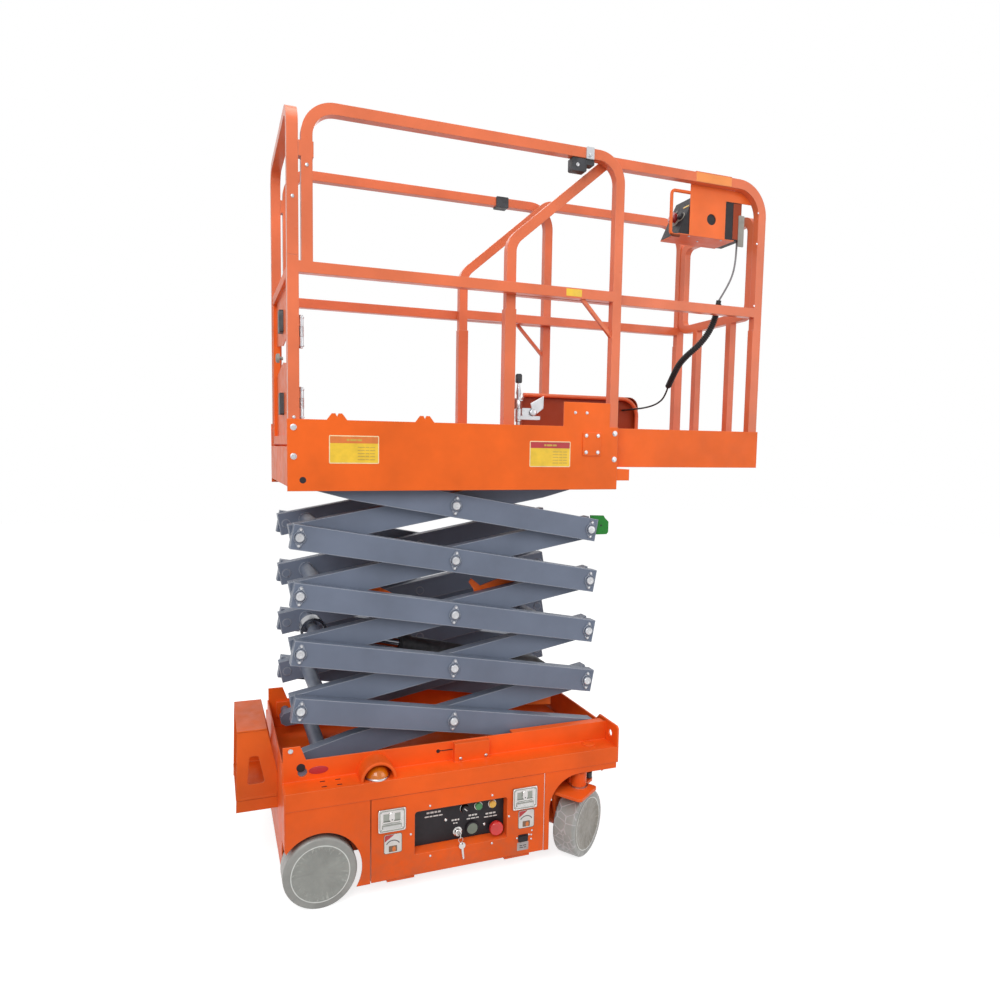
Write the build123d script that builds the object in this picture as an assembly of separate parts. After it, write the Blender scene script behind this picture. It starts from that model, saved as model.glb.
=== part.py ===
from build123d import *
import math
import os

# Small self-propelled scissor lift with five scissor levels and a sliding deck extension.
# Lengths are in millimetres. +X is the way it drives, +Z is up, and the near side is -Y.
# The origin lies on the ground, under the middle of the whole machine.

# Platform
DECK_L = 1140
DECK_W = 600
SHEET = 4
FASCIA_TOP = 1517
FASCIA_DROP = 71
DECK_SHEET = 4
REAR_PLATE_RISE = 15
SHOE_SEAT = 20
SHOE_OUT = 52
SHOE_W = 60
SHOE_H = 40
COVER_BACK = (215, 34)
COVER_RISE = 83
DECK_LUG_X = (150, 430)
DECK_LUG_L = 64
DECK_LUG_H = 20

# Guard rails
RAIL_TOP = 2450
RAIL_H = 34
RAIL_T = 28
MID_RAIL_TOP = 1985
POST_FOOT_DROP = 117
HOOP_REAR_X = 63
HOOP_FRONT_BACK = 17
HOOP_BEND = 85
REAR_BEND = 60
SLEEVE_DROP = (165, 120)
BRACE_RUN = 128
BRACE_DROP = 120
BRACE_T = 12

# Deck extension
EXT_OUT = 645
EXT_OVERLAP = 425
EXT_SIDE_GAP = 5
EXT_FLOOR_GAP = 3
EXT_TOE_TOP = 1515
EXT_SHEET = 4
EXT_POST_IN = 23
EXT_BEND_DROP = 325
EXT_SHOULDER_RUN = 358
EXT_FRONT_BEND = 110
EXT_SLEEVE_TOP = 1905
EXT_SLEEVE_GROW = 3
EXT_LIP = 9
WEAR_STRIP_Y = (180, 220)
WEAR_STRIP_L = 380
FRONT_LOOP_DROP = 120
FRONT_LOOP_BEND = 45
FRONT_STUB_Y = 107
STUB_W = 28

# Gate
GATE_TOP = 1975
GATE_FOOT = 1440
GATE_T = 24
GATE_STILE = 30
GATE_EDGE_GAP = 6
GATE_HINGE_GAP = 8
GATE_HINGE_R = 7
GATE_HINGE_PIN_R = 3.5
GATE_HINGE_Z = (1565, 1780)
GATE_PANEL_T = 3
GATE_WINDOW_Z = (1715, 1770)
GATE_WAIST = 60

# Scissor pack
LEVELS = 5
ARM_L = 1040
REST_ANGLE = 10.25
LOW_ANGLE = 4.75
HIGH_ANGLE = 41.9
ARM_DEPTH = 80
ARM_T = 40
OUTER_ARM_FACE = 260
ARM_GAP = 5
PIN_D = 30
PIN_FIT = 0.06
PIN_PROUD = 8
ARM_END = 24
TAPER_L = 180
TAPER_TIP = 25
TAPER_NOSE = 10
CROSS_TUBE_D = 50
CROSS_TUBE_AT = 73
ROLLER_R = 32.5
ROLLER_W = 20
ROLLER_GAP = 8
TRACK_FIT = 0.3
TRACK_SHEET = 6
TRACK_SPARE = 22
BASE_PIVOT_X = 40
BASE_PIVOT_Z = 411
BOSS_W = 60
BOSS_T = 10

# Lift cylinder
EYE_HALF = 30
BARREL_R = 32
BARREL_L = 585
ROD_R = 18
ROD_IN_BARREL = 190
EYE_PIN_HALF = 48
EYE_WALL = 9
EYE_SLACK = 21

# Chassis
CHASSIS_W = 760
CHASSIS_TAIL = 20
NOSE_GAP = 18
SHELF_TOP = 384
SHELF_BAND = 56
SKIN_INSET = 2
SKIN_BOTTOM = 50
SKIN_T = 4
WALL_Y = 298
WALL_TOP = 450
TUB_FLOOR_TOP = 340
TUB_SHEET = 5
BEAM_Y = (130, 170)
FRONT_BEAM_Z = 275
ARCH_R = 130
FRONT_ARCH_RUN = 132
FRONT_ARCH_TOP = 307
FRONT_ARCH_BEND = 115
NOSE_FOOT = 252
NOSE_EAR = 458
NOSE_EAR_IN = 250
NOSE_SHEET = 6
TIE_HOLE_R = 12
TIE_HOLE_Y = 330
TIE_HOLE_Z = 418
TAIL_LUG = (54, 72)
TAIL_LUG_TOP = 497
WALL_HOLE = (35, 427)
WALL_HOLE_R = 11
WALL_COVER_X = (538, 662)
WALL_COVER_D = 22
SHELF_SLOT_X = (92, 140)
SHELF_SLOT = (14, 3)
BEACON_X = 269
BEACON_R = 38
HOOD_R = 58
HOOD_T = 8

# Doors
DOOR_REAR_X = 243
DOOR_ARCH_GAP = 21
DOOR_TOP = 326
DOOR_T = 20
DOOR_GAP = 3
DOOR_HINGE_END = 97
DOOR_HINGE_R = 4.5
DOOR_HINGE_PIN_R = 2
DOOR_HINGE_DROP = 6
DOOR_HINGE_IN = 6
KNUCKLE_L = 30
RECESS_END = (142, 137)
RECESS_Z = (120, 264)
RECESS_D = 38
RECESS_CORNER = 10
SILL_RISE = 10
PANEL_T = 6
PANEL_CONTROLS = [
    (142, 233, 12, 12),
    (93, 234, 12, 8),
    (43, 234, 12, 8),
    (167, 157, 11, 14),
    (115, 160, 21, 6),
]
PANEL_STOP = (33, 153)
PANEL_STOP_R = 24

# Wheels
WHEEL_R = 115
TYRE_W = 80
HUB_R = 84
WHEEL_Y = 340
REAR_WHEEL_X = 84
FRONT_WHEEL_BACK = 129
HUB_RIM = 8
HUB_BOSS_R = 30
HUB_COVER_IN = 5
HUB_COVER_T = 5
AXLE_R = 15
AXLE_END = 14
STEER_REST = 35
YOKE_Z = (236, 246)
YOKE_HALF = 30
YOKE_TAIL = 100
YOKE_WING = 60
YOKE_CORNER = 14
LEG_HALF = 45
LEG_Y = (52, 64)
STEER_ARM = 75
KINGPIN_BOSS_R = 28
AXLE_BEAM_Z = (250, 300)
MOTOR_R = 38
MOTOR_L = 46
TIE_ROD_R = 9
TIE_EYE_R = 15
TIE_PIN_R = 8
TIE_SLACK = 0.5
TIE_EYE_H = 20

# Ladder
LADDER_REACH = 156
LADDER_HALF = 147
LADDER_TOP = 509
LADDER_FOOT = 235
LADDER_SHEET = 4
LADDER_KNEE = 358
LADDER_TOP_IN = 32
LADDER_HOLE = [(36, 326), (92, 326), (72, 420), (44, 420)]
LADDER_HOLE_BEND = 8
LADDER_STEP_RISE = 40

# Control box on the extension rail
BOX_BACK = (375, 93)
BOX_SLOPE = 65
BOX_DROP = (214, 74)
BOX_DEPTH = 110
STOP_R = 20
BOX_STOP_DROP = 150
COVER_PLATE_BACK = (327, 168)
COVER_SHEET = 2.7
COVER_HOLE = (231, 150)
COVER_HOLE_R = 20
WING_DROP = 76
TRAY_BACK = 125
LOOP_R = 6
LOOP_BACK = 405
LOOP_DROP = 63
LOOP_BEND = 14

# Control cable: chosen points of its route. Each point has its distance back from the
# extension's front, its Y, and its share of the height from the sliding deck up to the box.
CABLE_R = 3.5
COIL_R = 13
CABLE_TOP = [
    (99, -215, 1),
    (99, -215, 0.94),
    (105, -211, 0.865),
    (128, -205, 0.8),
    (158, -199, 0.742),
]
CABLE_COIL = [
    CABLE_TOP[-1],
    (191, -192.4, 0.678),
    (215, -158, 0.607),
    (219, -112, 0.542),
    (225, -66, 0.491),
    (231, -22, 0.44),
    (223, 18, 0.375),
]
CABLE_TAIL = [
    CABLE_COIL[-1],
    (217, 48, 0.326),
    (235, 82, 0.293),
    (271, 112, 0.277),
    (309, 134, 0.271),
    (323, 160, 0.268),
    (323, 205, 0.268),
]
GUARD_BACK = (805, 255)
GUARD_Y = (205, 209)
GUARD_TOP = 1665
GUARD_CORNER = 45

# Deck latch and door latches
LATCH_IN = (63, 157)
LATCH_Y = (-232, -200)
LATCH_POST_H = 320
LATCH_PLATE_H = 220
LATCH_PEDAL = [(24, 180), (94, 180), (94, 260), (52, 220), (44, 198)]
DOOR_LATCH_END = (66, 73)
DOOR_LATCH_Z = 252
DOOR_LATCH = (88, 5, 74)

# Battery and power unit
BATTERY = (500, 140, 200)
BATTERY_IN = 40
PUMP_BOX = (320, 140, 190)
PUMP_BOX_IN = 120

# Places that follow from the sizes above
X0 = -(DECK_L + EXT_OUT - LADDER_REACH) / 2
REST_PITCH = ARM_L * math.sin(math.radians(REST_ANGLE))
PIVOT_X = X0 + BASE_PIVOT_X
TOP_PIN_Z = BASE_PIVOT_Z + LEVELS * REST_PITCH
TRACK_START = BASE_PIVOT_X + ARM_L * math.cos(math.radians(HIGH_ANGLE)) - ROLLER_R - TRACK_SPARE
FLOOR_UNDER = TOP_PIN_Z + ROLLER_R + TRACK_FIT
FLOOR_TOP = FLOOR_UNDER + DECK_SHEET
FASCIA_BOTTOM = FLOOR_UNDER - FASCIA_DROP
FASCIA_IN = DECK_W / 2 - SHEET
RAIL_IN = FASCIA_IN - RAIL_T
EXT_REAR = X0 + DECK_L - EXT_OVERLAP
EXT_FRONT = X0 + DECK_L + EXT_OUT
EXT_DECK_TOP = FLOOR_TOP + EXT_FLOOR_GAP + EXT_SHEET
BOX_Z = (RAIL_TOP - BOX_DROP[0], RAIL_TOP - BOX_DROP[1])
FRONT_LOOP_TOP = RAIL_TOP - FRONT_LOOP_DROP
GATE_PIVOT_X = X0 + SHEET + RAIL_H + GATE_HINGE_GAP
GATE_PIVOT_Y = -(RAIL_IN + GATE_HINGE_R - 3)
EXT_FACE = RAIL_IN - EXT_SIDE_GAP
INNER_ARM_FACE = OUTER_ARM_FACE - ARM_T - ARM_GAP
INNER_ARM_BACK = INNER_ARM_FACE - ARM_T
ROLLER_Y = OUTER_ARM_FACE + ROLLER_GAP
WALL_IN = WALL_Y - SKIN_T
HALF_W = CHASSIS_W / 2
CHASSIS_NOSE = BASE_PIVOT_X + ARM_L * math.cos(math.radians(LOW_ANGLE)) + ROLLER_R + NOSE_GAP
FRONT_WHEEL_X = CHASSIS_NOSE - FRONT_WHEEL_BACK
FRONT_ARCH_X = FRONT_WHEEL_X - FRONT_ARCH_RUN
DOOR_X = (DOOR_REAR_X, FRONT_ARCH_X - DOOR_ARCH_GAP)
DOOR_HINGE_X = (DOOR_X[0] + DOOR_HINGE_END, DOOR_X[1] - DOOR_HINGE_END)
DOOR_LATCH_X = (DOOR_X[0] + DOOR_LATCH_END[0], DOOR_X[1] - DOOR_LATCH_END[1])
RECESS_X = (DOOR_X[0] + RECESS_END[0], DOOR_X[1] - RECESS_END[1])
DOOR_FACE = HALF_W - SKIN_INSET
DOOR_FOOT = SKIN_BOTTOM + 2
DOOR_PIVOT_Y = DOOR_FACE - DOOR_HINGE_IN
DOOR_PIVOT_Z = DOOR_FOOT - DOOR_HINGE_DROP
PIN_R = PIN_D / 2


def block(xs, ys, zs):
    """A box between two places on each axis."""
    size = [abs(b - a) for a, b in (xs, ys, zs)]
    low = [min(a, b) for a, b in (xs, ys, zs)]
    return Pos(*low) * Box(*size, align=(Align.MIN, Align.MIN, Align.MIN))


def rod_y(radius, x, z, ys):
    """A round bar along Y."""
    middle = (ys[0] + ys[1]) / 2
    return Pos(x, middle, z) * Rot(90, 0, 0) * Cylinder(radius, abs(ys[1] - ys[0]))


def rod_z(radius, x, y, zs):
    """A round bar along Z."""
    return Pos(x, y, (zs[0] + zs[1]) / 2) * Cylinder(radius, abs(zs[1] - zs[0]))


def slab_y(points, ys):
    """A flat outline of (x, z) points, as thick as the two places along Y."""
    face = make_face(Polyline(*[(x, ys[0], z) for x, z in points], close=True))
    return extrude(face, amount=ys[1] - ys[0], dir=(0, 1, 0))


def slab_x(points, xs):
    """A flat outline of (y, z) points, as thick as the two places along X."""
    face = make_face(Polyline(*[(xs[0], y, z) for y, z in points], close=True))
    return extrude(face, amount=xs[1] - xs[0], dir=(1, 0, 0))


def both_sides(shape):
    """The shape and its mirror image across the machine's middle plane."""
    return shape + mirror(shape, about=Plane.XZ)


def rail(points, bends, flat, across=RAIL_T, deep=RAIL_H):
    """A bent rectangular tube; flat is the axis that its sides stay square to."""
    path = FilletPolyline(*points, radius=bends) if bends else Polyline(*points)
    start = Plane(origin=path @ 0, x_dir=flat, z_dir=path % 0)
    return sweep(start * Rectangle(across, deep), path=path)


def arm_outline(taper_low, taper_high):
    """Side view of an arm along u, from its low-u pin at 0 to its high-u pin at ARM_L."""
    half = ARM_DEPTH / 2
    square = [(-ARM_END, -half), (-ARM_END, half)]
    taper = [
        (TAPER_L, -half),
        (-TAPER_NOSE, -TAPER_TIP),
        (-TAPER_TIP, -TAPER_NOSE),
        (-TAPER_TIP, TAPER_NOSE),
        (-TAPER_NOSE, TAPER_TIP),
        (TAPER_L, half),
    ]
    low = taper if taper_low else square
    high = taper if taper_high else square
    return low + [(ARM_L - u, v) for u, v in reversed(high)]


def place_arm(shape, low_x, low_z, angle):
    """Turn an arm drawn along +X about its first pin, and put that pin in its place."""
    return Pos(low_x, 0, low_z) * Rot(0, -angle, 0) * shape


def level_z(level):
    """Height of the pins under scissor level 1, 2, and so on."""
    return BASE_PIVOT_Z + (level - 1) * REST_PITCH


def roller_pin():
    """A pin end that carries a track roller outside the arms, drawn at the origin."""
    shaft = rod_y(PIN_R, 0, 0, (INNER_ARM_BACK, ROLLER_Y + ROLLER_W))
    return shaft + rod_y(ROLLER_R, 0, 0, (ROLLER_Y, ROLLER_Y + ROLLER_W))


def inner_arms(level):
    """Two inner arms, which rise towards the front, and the cross tubes that join them."""
    bottom = level == 1
    top = level == LEVELS
    arm = slab_y(arm_outline(bottom, top), (INNER_ARM_BACK, INNER_ARM_FACE))
    holes = [ARM_L / 2]
    holes += [] if bottom else [0]
    holes += [] if top else [ARM_L]
    for u in holes:
        arm -= rod_y(PIN_R + PIN_FIT, u, 0, (INNER_ARM_BACK - 1, INNER_ARM_FACE + 1))
    if bottom:
        arm += rod_y(PIN_R, 0, 0, (INNER_ARM_BACK, WALL_IN - 2))
    if top:
        arm += Pos(ARM_L, 0, 0) * roller_pin()
    pair = both_sides(arm)
    carries_eye = {1: ARM_L - CROSS_TUBE_AT, 3: CROSS_TUBE_AT}.get(level)
    for u in (CROSS_TUBE_AT, ARM_L - CROSS_TUBE_AT):
        tube = rod_y(CROSS_TUBE_D / 2, u, 0, (-INNER_ARM_BACK, INNER_ARM_BACK))
        if u == carries_eye:
            tube -= rod_y(CROSS_TUBE_D, u, 0, (-EYE_PIN_HALF, EYE_PIN_HALF))
            tube += rod_y(PIN_R, u, 0, (-EYE_PIN_HALF, EYE_PIN_HALF))
        pair += tube
    return place_arm(pair, PIVOT_X, level_z(level), REST_ANGLE)


def outer_arms(level):
    """Two outer arms, which fall towards the front, each with its three pins."""
    bottom = level == 1
    top = level == LEVELS
    arm = slab_y(arm_outline(top, False), (OUTER_ARM_FACE - ARM_T, OUTER_ARM_FACE))
    pin_ends = (INNER_ARM_BACK - 3, OUTER_ARM_FACE + PIN_PROUD)
    arm += rod_y(PIN_R, ARM_L / 2, 0, pin_ends)
    if top:
        arm += rod_y(PIN_R, 0, 0, (OUTER_ARM_FACE - ARM_T, FASCIA_IN - 2))
    else:
        arm += rod_y(PIN_R, 0, 0, pin_ends)
    if bottom:
        arm += rod_y(PIN_R, ARM_L, 0, (OUTER_ARM_FACE - ARM_T, ROLLER_Y + ROLLER_W))
        arm += rod_y(ROLLER_R, ARM_L, 0, (ROLLER_Y, ROLLER_Y + ROLLER_W))
    else:
        arm += rod_y(PIN_R, ARM_L, 0, pin_ends)
    return place_arm(both_sides(arm), PIVOT_X, level_z(level + 1), -REST_ANGLE)


def arm_point(level, u):
    """Place of a point u along the inner arm of a level, at rest."""
    x = PIVOT_X + u * math.cos(math.radians(REST_ANGLE))
    return x, level_z(level) + u * math.sin(math.radians(REST_ANGLE))


EYE_BASE = arm_point(1, ARM_L - CROSS_TUBE_AT)
EYE_ROD = arm_point(3, CROSS_TUBE_AT)
EYE_L = math.dist(EYE_BASE, EYE_ROD)
EYE_ANGLE = math.degrees(math.atan2(EYE_ROD[1] - EYE_BASE[1], EYE_ROD[0] - EYE_BASE[0]))


def along_cylinder(shape):
    """Put a shape drawn along +X from the base eye on the lift cylinder's line."""
    return Pos(EYE_BASE[0], 0, EYE_BASE[1]) * Rot(0, -EYE_ANGLE, 0) * shape


def eye(u, bore_r):
    """A cylinder eye round its pin, at u along the cylinder."""
    ring = rod_y(bore_r + EYE_WALL, u, 0, (-EYE_HALF, EYE_HALF))
    return ring - rod_y(bore_r, u, 0, (-EYE_HALF - 1, EYE_HALF + 1))


def lift_barrel():
    """Barrel with its base eye and an open mouth for the rod."""
    eye_bore = PIN_R + PIN_FIT
    start = eye_bore + EYE_WALL / 2
    tube = Pos((start + BARREL_L) / 2, 0, 0) * Rot(0, 90, 0) * Cylinder(BARREL_R, BARREL_L - start)
    bore_l = BARREL_L - start - BARREL_R
    bore = Pos(BARREL_L - bore_l / 2, 0, 0) * Rot(0, 90, 0) * Cylinder(ROD_R + PIN_FIT, bore_l)
    gland = Pos(BARREL_L - 20, 0, 0) * Rot(0, 90, 0) * Cylinder(BARREL_R + 5, 36)
    return along_cylinder(tube + gland + eye(0, eye_bore) - bore)


def lift_rod():
    """Chromed rod, whose eye has slack round its pin for the swing of the levels above."""
    start = BARREL_L - ROD_IN_BARREL
    eye_bore = PIN_R + EYE_SLACK
    end = EYE_L - eye_bore - EYE_WALL / 2
    bar = Pos((start + end) / 2, 0, 0) * Rot(0, 90, 0) * Cylinder(ROD_R, end - start)
    return along_cylinder(bar + eye(EYE_L, eye_bore))


def deck_lug(x):
    """Outline of a notched lug that stands on the fascia's top edge."""
    foot, half, notch = FASCIA_TOP - 1, DECK_LUG_L / 2, DECK_LUG_H / 4
    top = FASCIA_TOP + DECK_LUG_H
    low = [(x - half, foot), (x - half / 2, top), (x - notch, top)]
    return low + [(x, top - 2 * notch), (x + notch, top), (x + half / 2, top), (x + half, foot)]


def platform_deck():
    """Floor, side fascias with the roller tracks, rear plate, bearing bosses and front shoes."""
    x_end = X0 + DECK_L
    weld = FASCIA_IN + SHEET / 2
    deck = block((X0, x_end), (-weld, weld), (FLOOR_UNDER, FLOOR_TOP))
    side = block((X0, x_end), (FASCIA_IN, DECK_W / 2), (FASCIA_BOTTOM, FASCIA_TOP))
    track_z = TOP_PIN_Z - ROLLER_R - TRACK_FIT
    track_y = (OUTER_ARM_FACE + ROLLER_GAP - 2, FASCIA_IN)
    side += block((X0 + TRACK_START, x_end), track_y, (track_z - TRACK_SHEET, track_z))
    boss_x = (PIVOT_X - BOSS_W / 2, PIVOT_X + BOSS_W / 2)
    side += block(boss_x, (FASCIA_IN - BOSS_T, FASCIA_IN), (TOP_PIN_Z - BOSS_W / 2, FLOOR_UNDER))
    side -= rod_y(PIN_R + PIN_FIT, PIVOT_X, TOP_PIN_Z, (FASCIA_IN - BOSS_T - 1, FASCIA_IN))
    shoe_z = (FLOOR_UNDER - SHOE_H, FLOOR_UNDER)
    side += block((x_end - SHOE_SEAT, x_end + SHOE_OUT), (FASCIA_IN - SHOE_W, weld), shoe_z)
    for at_x in DECK_LUG_X:
        side += slab_y(deck_lug(X0 + at_x), (FASCIA_IN, DECK_W / 2))
    deck += both_sides(side)
    rear_z = (FASCIA_BOTTOM + REAR_PLATE_RISE, GATE_FOOT - GATE_EDGE_GAP)
    deck += block((X0, X0 + SHEET), (-weld, weld), rear_z)
    cover_x = (x_end - COVER_BACK[0], x_end - COVER_BACK[1])
    cover_z = (FASCIA_TOP - SHEET, FASCIA_TOP + COVER_RISE)
    deck += block(cover_x, (-DECK_W / 2, -FASCIA_IN), cover_z)
    return deck


def rail_side():
    """Fixed side frame: corner post, hoop, mid rail, corner sleeve and brace, on the +Y side."""
    y = FASCIA_IN - RAIL_T / 2
    foot = FASCIA_TOP - POST_FOOT_DROP
    top = RAIL_TOP - RAIL_H / 2
    mid = MID_RAIL_TOP - RAIL_H / 2
    rear = X0 + HOOP_REAR_X
    front = X0 + DECK_L - HOOP_FRONT_BACK
    hoop = rail([(rear, y, mid), (rear, y, top), (front, y, top), (front, y, foot)], HOOP_BEND, (0, 1, 0))
    corner = X0 + SHEET + RAIL_H / 2
    post = rail([(corner, y, foot), (corner, y, MID_RAIL_TOP + 15)], 0, (0, 1, 0))
    middle = rail([(corner, y, mid), (front, y, mid)], 0, (0, 1, 0))
    sleeve_x = (corner + RAIL_H / 2 + TRACK_FIT, rear + RAIL_H / 2 + 3)
    sleeve_z = (RAIL_TOP - SLEEVE_DROP[0], RAIL_TOP - SLEEVE_DROP[1])
    sleeve = block(sleeve_x, (y - RAIL_T / 2, y + RAIL_T / 2), sleeve_z)
    brace_foot = front - RAIL_H / 2
    brace_z = mid - RAIL_H / 2 - BRACE_DROP
    brace = rail(
        [(brace_foot - BRACE_RUN, y, mid), (brace_foot + 5, y, brace_z)],
        0,
        (0, 1, 0),
        BRACE_T,
        BRACE_T,
    )
    return hoop + post + middle + sleeve + brace


def rail_rear():
    """Rear end hoop, which stands on the two corner posts."""
    x = X0 + SHEET + RAIL_H / 2
    y = FASCIA_IN - RAIL_T / 2
    top = RAIL_TOP - RAIL_H / 2
    foot = MID_RAIL_TOP + 15 + TRACK_FIT
    path = [(x, -y, foot), (x, -y, top), (x, y, top), (x, y, foot)]
    return rail(path, REAR_BEND, (1, 0, 0), RAIL_H, RAIL_T)


def gate_post_hinges():
    """Fixed knuckles and pins of the gate hinges, on the near corner post."""
    hinges = Part()
    for z in GATE_HINGE_Z:
        ends = (z - 1.5 * KNUCKLE_L, z + 1.5 * KNUCKLE_L)
        barrel = rod_z(GATE_HINGE_R, GATE_PIVOT_X, GATE_PIVOT_Y, ends)
        seat_x = (GATE_PIVOT_X - GATE_HINGE_GAP, GATE_PIVOT_X)
        barrel += block(seat_x, (GATE_PIVOT_Y - GATE_HINGE_R, GATE_PIVOT_Y), ends)
        gap = (z - KNUCKLE_L / 2 - TRACK_FIT, z + KNUCKLE_L / 2 + TRACK_FIT)
        room = 3 * GATE_HINGE_R
        barrel -= block((seat_x[0] + 0.5, seat_x[1] + room), (GATE_PIVOT_Y - room, GATE_PIVOT_Y + room), gap)
        hinges += barrel + rod_z(GATE_HINGE_PIN_R, GATE_PIVOT_X, GATE_PIVOT_Y, gap)
    return hinges


def gate():
    """Swing gate: two stiles, two bars, a sheet with a waisted window, and its hinge leaves."""
    x = (X0 + 6, X0 + 6 + GATE_T)
    half = RAIL_IN - GATE_EDGE_GAP
    frame = block(x, (half - GATE_STILE, half), (GATE_FOOT, GATE_TOP))
    leaf = both_sides(frame)
    for z in (GATE_FOOT, GATE_TOP - GATE_STILE):
        leaf += block(x, (-half, half), (z, z + GATE_STILE))
    low, high = GATE_WINDOW_Z
    rise = GATE_WAIST / 2
    window = [(-half + 2, low - rise), (0, low), (half - 2, low - rise)]
    window += [(half - 2, high + rise), (0, high), (-half + 2, high + rise)]
    sheet_x = (x[0] + GATE_T / 2, x[0] + GATE_T / 2 + GATE_PANEL_T)
    sheet = block(sheet_x, (-half + 1, half - 1), (GATE_FOOT + 1, GATE_TOP - 1))
    leaf += sheet - slab_x(window, (sheet_x[0] - 1, sheet_x[1] + 1))
    strap_y = (GATE_PIVOT_Y + GATE_HINGE_R - 2, -half + 1)
    for z in GATE_HINGE_Z:
        zs = (z - KNUCKLE_L / 2, z + KNUCKLE_L / 2)
        leaf += block((x[1] - 4, GATE_PIVOT_X), strap_y, zs)
        leaf += rod_z(GATE_HINGE_R, GATE_PIVOT_X, GATE_PIVOT_Y, zs)
        leaf -= rod_z(GATE_HINGE_PIN_R + PIN_FIT, GATE_PIVOT_X, GATE_PIVOT_Y, zs)
    return leaf


def ext_deck():
    """Extension floor with its side plates, wear strips and front toe plate."""
    rear, front = EXT_REAR, EXT_FRONT
    floor_z = FLOOR_TOP + EXT_FLOOR_GAP
    tray = block((rear, front), (-EXT_FACE, EXT_FACE), (floor_z, floor_z + EXT_SHEET))
    side = block((rear, front), (EXT_FACE - EXT_SHEET, EXT_FACE), (floor_z, EXT_TOE_TOP))
    lip_x = (rear + EXT_POST_IN + 2 * RAIL_H, front - 2 * RAIL_H)
    lip_y = (EXT_FACE - EXT_SHEET - EXT_LIP, EXT_FACE)
    side += block(lip_x, lip_y, (EXT_TOE_TOP - EXT_SHEET, EXT_TOE_TOP))
    side += block((rear, rear + WEAR_STRIP_L), WEAR_STRIP_Y, (FLOOR_TOP + TRACK_FIT, floor_z))
    tray += both_sides(side)
    return tray + block((front - EXT_SHEET, front), (-EXT_FACE, EXT_FACE), (floor_z, EXT_TOE_TOP))


def ext_rail_side():
    """Extension side rail on the +Y side: cranked rear post, top rail, front post and mid rail."""
    y = EXT_FACE - EXT_SHEET - RAIL_T / 2 - TRACK_FIT
    top = RAIL_TOP - RAIL_H / 2
    mid = MID_RAIL_TOP - RAIL_H / 2
    foot = EXT_DECK_TOP
    front = EXT_FRONT - EXT_SHEET - RAIL_H / 2 - TRACK_FIT
    rear = EXT_REAR + EXT_POST_IN
    points = [
        (rear, y, foot),
        (rear, y, RAIL_TOP - EXT_BEND_DROP),
        (rear + EXT_SHOULDER_RUN, y, top),
        (front, y, top),
        (front, y, foot),
    ]
    frame = rail(points, [70, 60, EXT_FRONT_BEND], (0, 1, 0))
    frame += rail([(rear, y, mid), (front, y, mid)], 0, (0, 1, 0))
    wide = RAIL_H / 2 + EXT_SLEEVE_GROW
    in_y = (y - RAIL_T / 2 - EXT_SLEEVE_GROW, y + RAIL_T / 2)
    frame += block((rear - wide, rear + wide), in_y, (foot, EXT_SLEEVE_TOP))
    post_y = (y - RAIL_T / 2, y + RAIL_T / 2)
    return frame + block((front - wide, front + RAIL_H / 2), post_y, (foot, EXT_SLEEVE_TOP))


def ext_rail_front():
    """Front end: the rounded upper loop and the stubs under it."""
    x = EXT_FRONT - EXT_SHEET - RAIL_H / 2 - TRACK_FIT
    y = EXT_FACE - EXT_SHEET - RAIL_T - 2 * TRACK_FIT - RAIL_H / 2
    mid = MID_RAIL_TOP - RAIL_H / 2
    half = rail(
        [(x, -1, mid), (x, y, mid), (x, y, FRONT_LOOP_TOP), (x, -1, FRONT_LOOP_TOP)],
        FRONT_LOOP_BEND,
        (1, 0, 0),
    )
    stub_x = (x - STUB_W / 2, x + STUB_W / 2)
    stub_y = (FRONT_STUB_Y - STUB_W / 2, FRONT_STUB_Y + STUB_W / 2)
    return both_sides(half + block(stub_x, stub_y, (EXT_DECK_TOP, mid)))


def rod_x(radius, y, z, xs):
    """A round bar along X."""
    return Pos((xs[0] + xs[1]) / 2, y, z) * Rot(0, 90, 0) * Cylinder(radius, abs(xs[1] - xs[0]))


def door_floor_hinges():
    """Fixed knuckles and pins of the +Y door's hinges, under the edge of the bay floor."""
    hinges = Part()
    inner = DOOR_FACE - DOOR_T - 3 * DOOR_GAP
    low = DOOR_PIVOT_Z - DOOR_HINGE_R
    for at_x in DOOR_HINGE_X:
        x = X0 + at_x
        for side in (-1, 1):
            start = x + side * (KNUCKLE_L / 2 + TRACK_FIT)
            ends = (start, start + side * KNUCKLE_L)
            hinges += block(ends, (inner, DOOR_PIVOT_Y), (low, SKIN_BOTTOM))
            hinges += rod_x(DOOR_HINGE_R, DOOR_PIVOT_Y, DOOR_PIVOT_Z, ends)
        pin_x = (x - KNUCKLE_L, x + KNUCKLE_L)
        hinges += rod_x(DOOR_HINGE_PIN_R, DOOR_PIVOT_Y, DOOR_PIVOT_Z, pin_x)
    return hinges


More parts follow.
